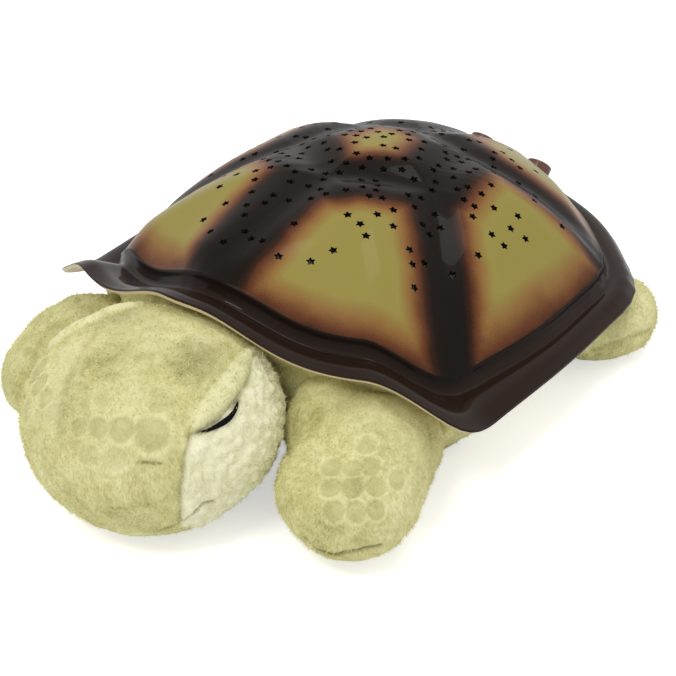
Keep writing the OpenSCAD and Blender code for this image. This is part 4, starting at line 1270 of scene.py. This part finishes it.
# %% [markdown]
# ## Closed eyes
# Each eye is a crescent of dark satin stitch, sewn flat on the seam below the lid. It is modelled as a low
# cushion whose points are cast on to the finished cloth, so that it follows every dent under it.

# %% Eyes: satin stitch on the finished skin
EYE_WIDTH = 2.6
EYE_RISE = 0.55
EYE_LIFT = 0.25
EYE_TAPER = 0.7
EYE_THINNEST = 0.08
THIN_RISE = 0.4
EYE_STEP_PX = 1.5
EYE_SIDES = 12
# how many neighbours on each side even out the eye's path, and the way that it faces
PATH_EVEN, FACING_EVEN = 2, 4
EYE_CREASE = 80


def smoothed(values, reach):
    """Each value's mean with its neighbours up to reach away."""
    return np.array([values[max(0, k - reach):k + reach + 1].mean(0) for k in range(len(values))])


def unit(vectors):
    return vectors / np.linalg.norm(vectors, axis=1, keepdims=True)


eye_black, tree = new_material("eye_stitch")
surface(tree, Base_Color=rgb(14, 12, 14), Roughness=0.5, Specular_IOR_Level=0.05)
head_net = net_of(head)
near_path = np.array([place for place, _ in cast(head_net, fine(EYE_LINE, EYE_STEP_PX))])
turn = np.radians(np.arange(0, 360, 360 // EYE_SIDES))
for side, eye_path in (("left", near_path), ("right", other_side(near_path))):
    hits = [head_net.find_nearest(Vector(p)) for p in eye_path]
    path = smoothed(np.array([hit[0] for hit in hits]), PATH_EVEN)
    out = unit(smoothed(np.array([hit[1] for hit in hits]), FACING_EVEN))
    across = unit(np.cross(out, np.gradient(path, axis=0)))
    taper = np.sin(np.pi * np.linspace(0, 1, len(path))) ** EYE_TAPER
    half = EYE_WIDTH / 2 * np.maximum(taper, EYE_THINNEST)
    rise = EYE_RISE * (THIN_RISE + (1 - THIN_RISE) * half / half.max())
    rings_at = [path[k] + out[k] * EYE_LIFT + np.outer(half[k] * np.cos(turn), across[k])
                + np.outer(rise[k] * np.sin(turn), out[k]) for k in range(len(path))]
    pts = np.concatenate([path[:1], *rings_at, path[-1:]])
    eye = mesh_object(f"{side}_eye_stitch", pts, ring_faces(len(rings_at), len(turn)), (eye_black,))
    bm = bmesh.new()
    bm.from_mesh(eye.data)
    bmesh.ops.recalc_face_normals(bm, faces=bm.faces)
    bm.to_mesh(eye.data)
    bm.free()
    smooth(eye, EYE_CREASE)
    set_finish(eye, "eye_thread")
    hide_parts(f"{side}_eye")
    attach(eye, "case")
    print(eye.name, "length", round(float(np.linalg.norm(np.diff(path, axis=0), axis=1).sum()), 1), "mm")

# %% [markdown]
# ## Flippers and tail
# Four flippers and the tail are flat bags, each sewn from two layers and lightly stuffed. The cloth is
# filled by simulation, then the pressed pads, the puckers and the seams are drawn on from the front.
# The roots are raised to meet the hem below the brim. Plain rounded boxes would have been quicker, but
# their outline gives them away.

# %% A filled flipper
FLIPPER_NET = 4.0
FLIPPER_SHRINK = 2.6
FLIPPER_CAP = 4.0
FLIPPER_WAVES = ((0.6, 9), (0.35, 3.5))
ROOT_Y = -128.0
ROOT_OVER = 45.0


def with_lumps(piece, lumps):
    """Adds egg-shaped lumps, each given by its middle and three radii, for the next wrap to weld in."""
    bm = bmesh.new()
    bm.from_mesh(piece.data)
    for middle, radii in lumps:
        for point in bmesh.ops.create_uvsphere(bm, u_segments=24, v_segments=16, radius=1)["verts"]:
            point.co = (np.array(point.co) * radii + middle) * MM
    bm.to_mesh(piece.data)
    bm.free()
    return piece


def plush_flipper(name, node, net_mm=FLIPPER_NET, levels=2, root_rise=0.0, lumps=()):
    """A filled flipper. Its root, where it lies under the brim, may stand higher than the plain solid."""
    piece = wrapped(with_lumps(merged(name, frame["nodes"][node]), lumps), net_mm)
    finer(filled(piece, FLIPPER_SHRINK, FLIPPER_CAP), levels)
    skin = Skin(piece)
    if root_rise:
        raised = skin.points.copy()
        height = raised[:, 2] / raised[:, 2].max()
        raised[:, 2] += root_rise * ease((raised[:, 1] - ROOT_Y) / ROOT_OVER) * ease(height)
        skin.moved(raised)
    skin.lift += swell(skin.points, *FLIPPER_WAVES)
    return skin


# %% Front flippers
# in pixels of the square view; a pad also has its radius
FLIPPER_PADS = ((366, 448, 9), (332, 468, 10), (352, 469, 9), (371, 468, 9), (331, 488, 10), (352, 488, 10),
                (377, 487, 10), (400, 484, 9), (334, 511, 10), (356, 511, 10), (376, 510, 9))
PUCKERS = ((283, 445), (300, 400), (325, 385), (336, 395), (318, 430), (308, 480), (302, 520), (285, 520),
           (273, 499))
TIP_SEAM = ((303, 537), (315, 551), (334, 556), (381, 546))
KNUCKLE_FOLD = ((330, 372), (341, 388), (352, 396), (366, 392))
# where the near flipper's top takes painted shade below the brim
FLIPPER_TOP_SHADE = ((345, 398), (390, 405), (440, 425), (432, 452), (352, 442), (330, 425))
FAR_FOLD = ((92, 290), (70, 305), (50, 325), (36, 348), (30, 380))
# in millimetres
PAD_PRESS = 1.1
PUCKER_SIZE, PUCKER_RISE, PUCKER_SINK = 5.5, 1.2, 0.3
INNER_X, INNER_OVER, INNER_FULLER = 88.0, 18.0, 3.5
# painted shade in the tint of pressed cloth: how much the near flipper's top gets below the brim, and all of
# the far one
TOP_SHADE, FAR_SHADE = 0.5, 0.3
ROOT_RISE = {"left": 11.0, "right": 3.0}
KNUCKLES = {"left": (((64, -93, 35), (17, 22, 18)),), "right": ()}

for side in ("left", "right"):
    skin = plush_flipper("plush_front_" + side, f"front_{side}_flipper", root_rise=ROOT_RISE[side],
                         lumps=KNUCKLES[side])
    if side == "left":
        fuller = skin.points.copy()
        fuller[:, 0] -= INNER_FULLER * ease((INNER_X - fuller[:, 0]) / INNER_OVER)
        skin.moved(fuller)
        skin.pads([(*pad, PAD_PRESS) for pad in FLIPPER_PADS])
        gathers = pebbles(skin.points, PUCKER_SIZE) - PUCKER_SINK
        skin.lift += PUCKER_RISE * skin.patch(PUCKERS, soft_px=6) * gathers
        skin.groove(TIP_SEAM, deep=1.4)
        skin.groove(KNUCKLE_FOLD, deep=1.6, wide=2.4, dark=0.5)
        # painted shade on the flipper's top, below the brim
        skin.add("pressed_and_shade", TOP_SHADE * skin.patch(FLIPPER_TOP_SHADE, soft_px=12))
    else:
        skin.groove(FAR_FOLD, deep=1.4, wide=2.0, dark=0.3, own=True)
        # painted shade over all of the far flipper
        skin.add("pressed_and_shade", np.full(len(skin.points), FAR_SHADE))
    skin.done(f"front_{side}_flipper")

# %% Rear flippers and tail
REAR_SEAM = ((592, 351), (624, 340), (657, 328))
TAIL_NET = 3.5
# painted highlight on faces that turn up to the lamps: how strong, and over how much it fades
TOP_HIGHLIGHT = 0.8
HIGHLIGHT_FADE = 0.5
for side in ("left", "right"):
    skin = plush_flipper("plush_rear_" + side, f"rear_{side}_flipper")
    if side == "left":
        skin.groove(REAR_SEAM, deep=1.0, dark=0.3)
    # painted highlight on the upward faces
    skin.add("paler_and_highlight", TOP_HIGHLIGHT * ease(skin.normals[:, 2] / HIGHLIGHT_FADE))
    skin.done(f"rear_{side}_flipper")
plush_flipper("plush_tail", "tail", TAIL_NET, levels=1).done("tail")

# %% [markdown]
# ## Belly
# The belly is the soft bowl that holds the hard tray. Its hem bulges below the brim, two shoulders of
# stuffing stand behind the head, and a lump fills the back round the tail. They could be joined by a
# Boolean, which leaves a sharp crease all round; a voxel remesh welds them and rounds the crease off.

# %% A roll that fills the gap below the brim
ROLL_R = 6.5
ROLL_IN = 3.0
ROLL_UNDER = 0.8
ROLL_TOP = 90.0
turn = np.arange(0, 360, 3)
roll_z = np.minimum(foot_height(turn) - STEP_H - WALL - ROLL_R * ROLL_UNDER, ROLL_TOP)
centre = np.column_stack([plan(foot_reach(turn) + ROLL_IN, turn) + [0, SHELL_Y], roll_z])
section = np.radians(np.arange(0, 360, 30))
roll_points = np.concatenate([c + np.column_stack([np.outer(np.cos(section), plan(1.0, t)) * ROLL_R,
                                                   np.sin(section) * ROLL_R])
                              for c, t in zip(centre, turn)])
m, n = len(turn), len(section)
roll_faces = [(i * n + j, ((i + 1) % m) * n + j, ((i + 1) % m) * n + (j + 1) % n, i * n + (j + 1) % n)
              for i in range(m) for j in range(n)]
roll = mesh_object("roll", roll_points, roll_faces)
print("roll:", len(roll_points), "points")

# %% Belly
# the middle and three radii of each lump
BELLY_LUMPS = (((54, -76, 34), (18, 20, 23)), ((-50, -84, 34), (20, 22, 26)),
               ((0, 138, 30), (46, 15, 17)))
BELLY_NET = 3.0
BELLY_WAVES = ((1.3, 10), (0.5, 4))
BELLY_MIDDLE_Y = 20.0
FLANK = 0.4
belly = merged("plush_belly", frame["nodes"]["plush_body"], roll)
removed(roll)
belly = wrapped(with_lumps(belly, BELLY_LUMPS), BELLY_NET)
skin = Skin(belly)
around = skin.points - [0, BELLY_MIDDLE_Y, 0]
around[:, 2] = 0
around /= np.maximum(np.linalg.norm(around, axis=1, keepdims=True), 1)
outside = ease(np.sum(skin.normals * around, axis=1) / FLANK)
skin.lift += outside * swell(skin.points, *BELLY_WAVES)
skin.done("plush_body", fill=0.7)

# %% [markdown]
# ## Battery flap
# A flap of the same cloth closes over the battery door and is held by hook tape. It is a flat piece with a
# row of stitches inside its border, and it rides on its own hinge, so it is not joined to the belly.

# %% Flap with a stitched border
FLAP_NET = 1.2
HEM_IN = 4.0
HEM_WIDE = 1.0
HEM_DEEP = 0.5
FACES_DOWN = -0.5
flap = wrapped(merged("flap_cover", frame["nodes"]["belly_flap"]), FLAP_NET)
skin = Skin(flap)
low_corner, high_corner = skin.points.min(axis=0), skin.points.max(axis=0)
from_border = np.minimum(skin.points - low_corner, high_corner - skin.points)[:, :2].min(axis=1)
hem = bell(from_border - HEM_IN, HEM_WIDE) * (skin.normals[:, 2] < FACES_DOWN)
skin.lift -= HEM_DEEP * hem
# painted shade along the stitched row
skin.add("seam", hem)
skin.done("belly_flap", body="flap", fill=0.3, under_shell=False)

# %% [markdown]
# ## Pile
# Velour has a nap, and at the toy's outline it shows as a soft fringe. Short tufts, strewn by Geometry
# Nodes and leaning at random, give that fringe and catch the light. They are plain in colour, as one hair
# shows no mottle, and they stay off the pressed pads and the seams.

# %% Tufts by Geometry Nodes
# the tufts' density is per square metre
TUFTS = {"Density": 420000.0, "Length": 2.0 * MM, "Radius": 0.16 * MM, "Lean": 0.9, "Seed": 5}
TUFT_SIZES = (0.6, 1.15)
LEAN_SEEDS = {"X": 0, "Y": 1}
SIZE_SEED = 7

nap_olive, tree = new_material("nap_olive")
surface(tree, Base_Color=rgb(222, 217, 160), Roughness=0.9, Specular_IOR_Level=0.1)
nap_pale, tree = new_material("nap_pale")
surface(tree, Base_Color=rgb(248, 246, 214), Roughness=0.9, Specular_IOR_Level=0.1)


def tuft_tree():
    """Strews tufts over a skin where its point attribute nap_room allows."""
    tree, given, result, keys = geometry_tree("pile", {**TUFTS, "Material": nap_olive})
    room = add(tree, "GeometryNodeInputNamedAttribute", {"Name": "nap_room"}, data_type="FLOAT")
    density = math_node(tree, "MULTIPLY", given.outputs["Density"], room.outputs[0])
    strew = add(tree, "GeometryNodeDistributePointsOnFaces",
                {"Mesh": given.outputs["Geometry"], "Density": density, "Seed": given.outputs["Seed"]})
    tuft = add(tree, "GeometryNodeMeshCone", {"Vertices": 3, "Radius Top": 0.0, "Side Segments": 1,
                                              "Radius Bottom": given.outputs["Radius"],
                                              "Depth": given.outputs["Length"]}, fill_type="NONE")
    lean = {}
    for axis, seed in LEAN_SEEDS.items():
        spread = add(tree, "FunctionNodeRandomValue", {"Seed": seed}, data_type="FLOAT")
        tree.links.new(math_node(tree, "MULTIPLY", given.outputs["Lean"], -1.0), spread.inputs[2])
        tree.links.new(given.outputs["Lean"], spread.inputs[3])
        lean[axis] = spread.outputs[1]
    size = add(tree, "FunctionNodeRandomValue", {"Seed": SIZE_SEED}, data_type="FLOAT")
    size.inputs[2].default_value, size.inputs[3].default_value = TUFT_SIZES
    place_on_points(tree, result, strew, tuft.outputs["Mesh"], lean, given.outputs["Material"],
                    Scale=size.outputs[1])
    return tree, keys


pile_tree, pile_keys = tuft_tree()
print("pile nodes:", len(pile_tree.nodes))

# %% Strew the pile
NAP_LOW = 3.0
NAP_BELOW_SHELL = 3.0
# a face that points further down than this has no nap, and over how much it thins
NAP_DOWN, NAP_THINS = 0.75, 0.3
PRESSED_BARE = 0.85
CHEEK_SHARE = 0.8
BELLY_SHARE = 0.5


def nap(skin_piece, name, material, room, share=1.0):
    """The tufts of a stuffed piece, as a piece of their own: room is the share of tufts at each point."""
    up, at = normals_of(skin_piece)[:, 2], points_of(skin_piece)
    room = room * ease((up + NAP_DOWN) / NAP_THINS) * (at[:, 2] > NAP_LOW)
    set_attribute(skin_piece, "nap_room", room * (at[:, 2] < room_below_shell(at) - NAP_BELOW_SHELL))
    piece = bpy.data.objects.new(name, skin_piece.data.copy())
    bpy.context.scene.collection.objects.link(piece)
    values = {**TUFTS, "Density": TUFTS["Density"] * share, "Material": material}
    strewn(piece, pile_tree, pile_keys, values)
    piece.data.materials.clear()
    piece.data.materials.append(material)
    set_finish(piece, "pale_plush" if material is nap_pale else "plush")
    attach(piece, "case")
    print(name, len(piece.data.polygons) // 3, "tufts")


def mask_of(piece, name):
    values = np.empty(len(piece.data.vertices), np.float32)
    piece.data.attributes[name].data.foreach_get("value", values)
    return values


for name in ("head", "front_left", "front_right", "rear_left", "rear_right", "tail", "belly"):
    piece = bpy.data.objects["plush_" + name]
    free = (1 - PRESSED_BARE * mask_of(piece, "pressed_and_shade")) * (1 - mask_of(piece, "seam"))
    pale_here = mask_of(piece, "pale")
    nap(piece, "nap_" + name, nap_olive, free * (1 - pale_here), BELLY_SHARE if name == "belly" else 1.0)
    if name == "head":
        nap(piece, "nap_cheeks", nap_pale, free * pale_here * CHEEK_SHARE)

# %% [markdown]
# ## Hidden and small parts
# The parts inside keep their machine shapes, which are right as they are, and get the finish of what they
# are made of: moulded plastic, steel, board, cell jackets, wire and hook tape. None of them is quite
# smooth, so one node group gives them all a fine grain, which each material turns into its own two tones.

# %% Grain
GRAIN_WAVES = 900.0
GRAIN_DETAIL = 3.0


def grain_group():
    """Node group: a fine grain in the piece's own coordinates."""
    group, given, result = shader_group("fine_grain", {"Scale": GRAIN_WAVES}, ("Grain",))
    group.links.new(object_noise(group, given.outputs["Scale"], GRAIN_DETAIL), result.inputs["Grain"])
    return group


fine_grain = grain_group()
print("grain nodes:", len(fine_grain.nodes))

# %% Finishes of the small parts
# each finish: its colour, roughness and how metallic it is
FINISHES = {
    "tray_plastic": ((238, 234, 222), 0.45, 0.0), "steel": ((168, 168, 170), 0.3, 1.0),
    "white_plastic": ((232, 232, 228), 0.45, 0.0), "circuit_board": ((30, 92, 56), 0.4, 0.0),
    "led_amber_lens": ((230, 150, 40), 0.12, 0.0), "led_blue_lens": ((60, 100, 225), 0.12, 0.0),
    "led_green_lens": ((70, 190, 90), 0.12, 0.0), "black_plastic": ((30, 30, 31), 0.45, 0.0),
    "cell_jacket": ((70, 74, 80), 0.35, 0.0), "nickel_plate": ((190, 186, 176), 0.25, 1.0),
    "red_wire": ((180, 34, 28), 0.4, 0.0), "black_wire": ((26, 26, 26), 0.4, 0.0),
    "grey_wire": ((120, 120, 122), 0.45, 0.0), "fastener_tape": ((178, 174, 148), 0.9, 0.0),
    "hook_tape": ((112, 112, 106), 0.8, 0.0), "button_plastic": ((96, 58, 42), 0.2, 0.0),
    "eye_thread": ((22, 21, 22), 0.45, 0.0), "plush": ((200, 195, 136), 0.85, 0.0),
    "pale_plush": ((222, 222, 182), 0.85, 0.0), "shell_plastic": ((120, 100, 60), 0.3, 0.0)}
DARKER, LIGHTER, LIGHTER_BY = 0.86, 1.12, 4
DARK_UP_TO, LIGHT_FROM = 0.3, 0.7
GRAIN_BUMP = 0.15
GRAIN_DEPTH = 0.0002
finish = {}
for name, (colour, rough, metal) in FINISHES.items():
    finish[name], tree = new_material(name)
    grain = add(tree, "ShaderNodeGroup", {"Scale": GRAIN_WAVES}, node_tree=fine_grain).outputs["Grain"]
    dark, light = (c * DARKER for c in colour), (min(255, c * LIGHTER + LIGHTER_BY) for c in colour)
    tone = ramp(tree, grain, [(DARK_UP_TO, rgb(*dark)), (LIGHT_FROM, rgb(*light))])
    bump = add(tree, "ShaderNodeBump", {"Strength": GRAIN_BUMP, "Distance": GRAIN_DEPTH, "Height": grain})
    surface(tree, Base_Color=tone, Roughness=rough, Metallic=metal, Normal=bump.outputs[0])
slots = {row["node"]: row["material_slot"] for row in frame["record"]["subparts"]}
for name, node in frame["nodes"].items():
    slot_name = node.get("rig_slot") or slots.get(name)
    if slot_name in finish:
        node.data.materials.clear()
        node.data.materials.append(finish[slot_name])
print("finishes:", len(finish), "for", len(frame["nodes"]), "nodes")
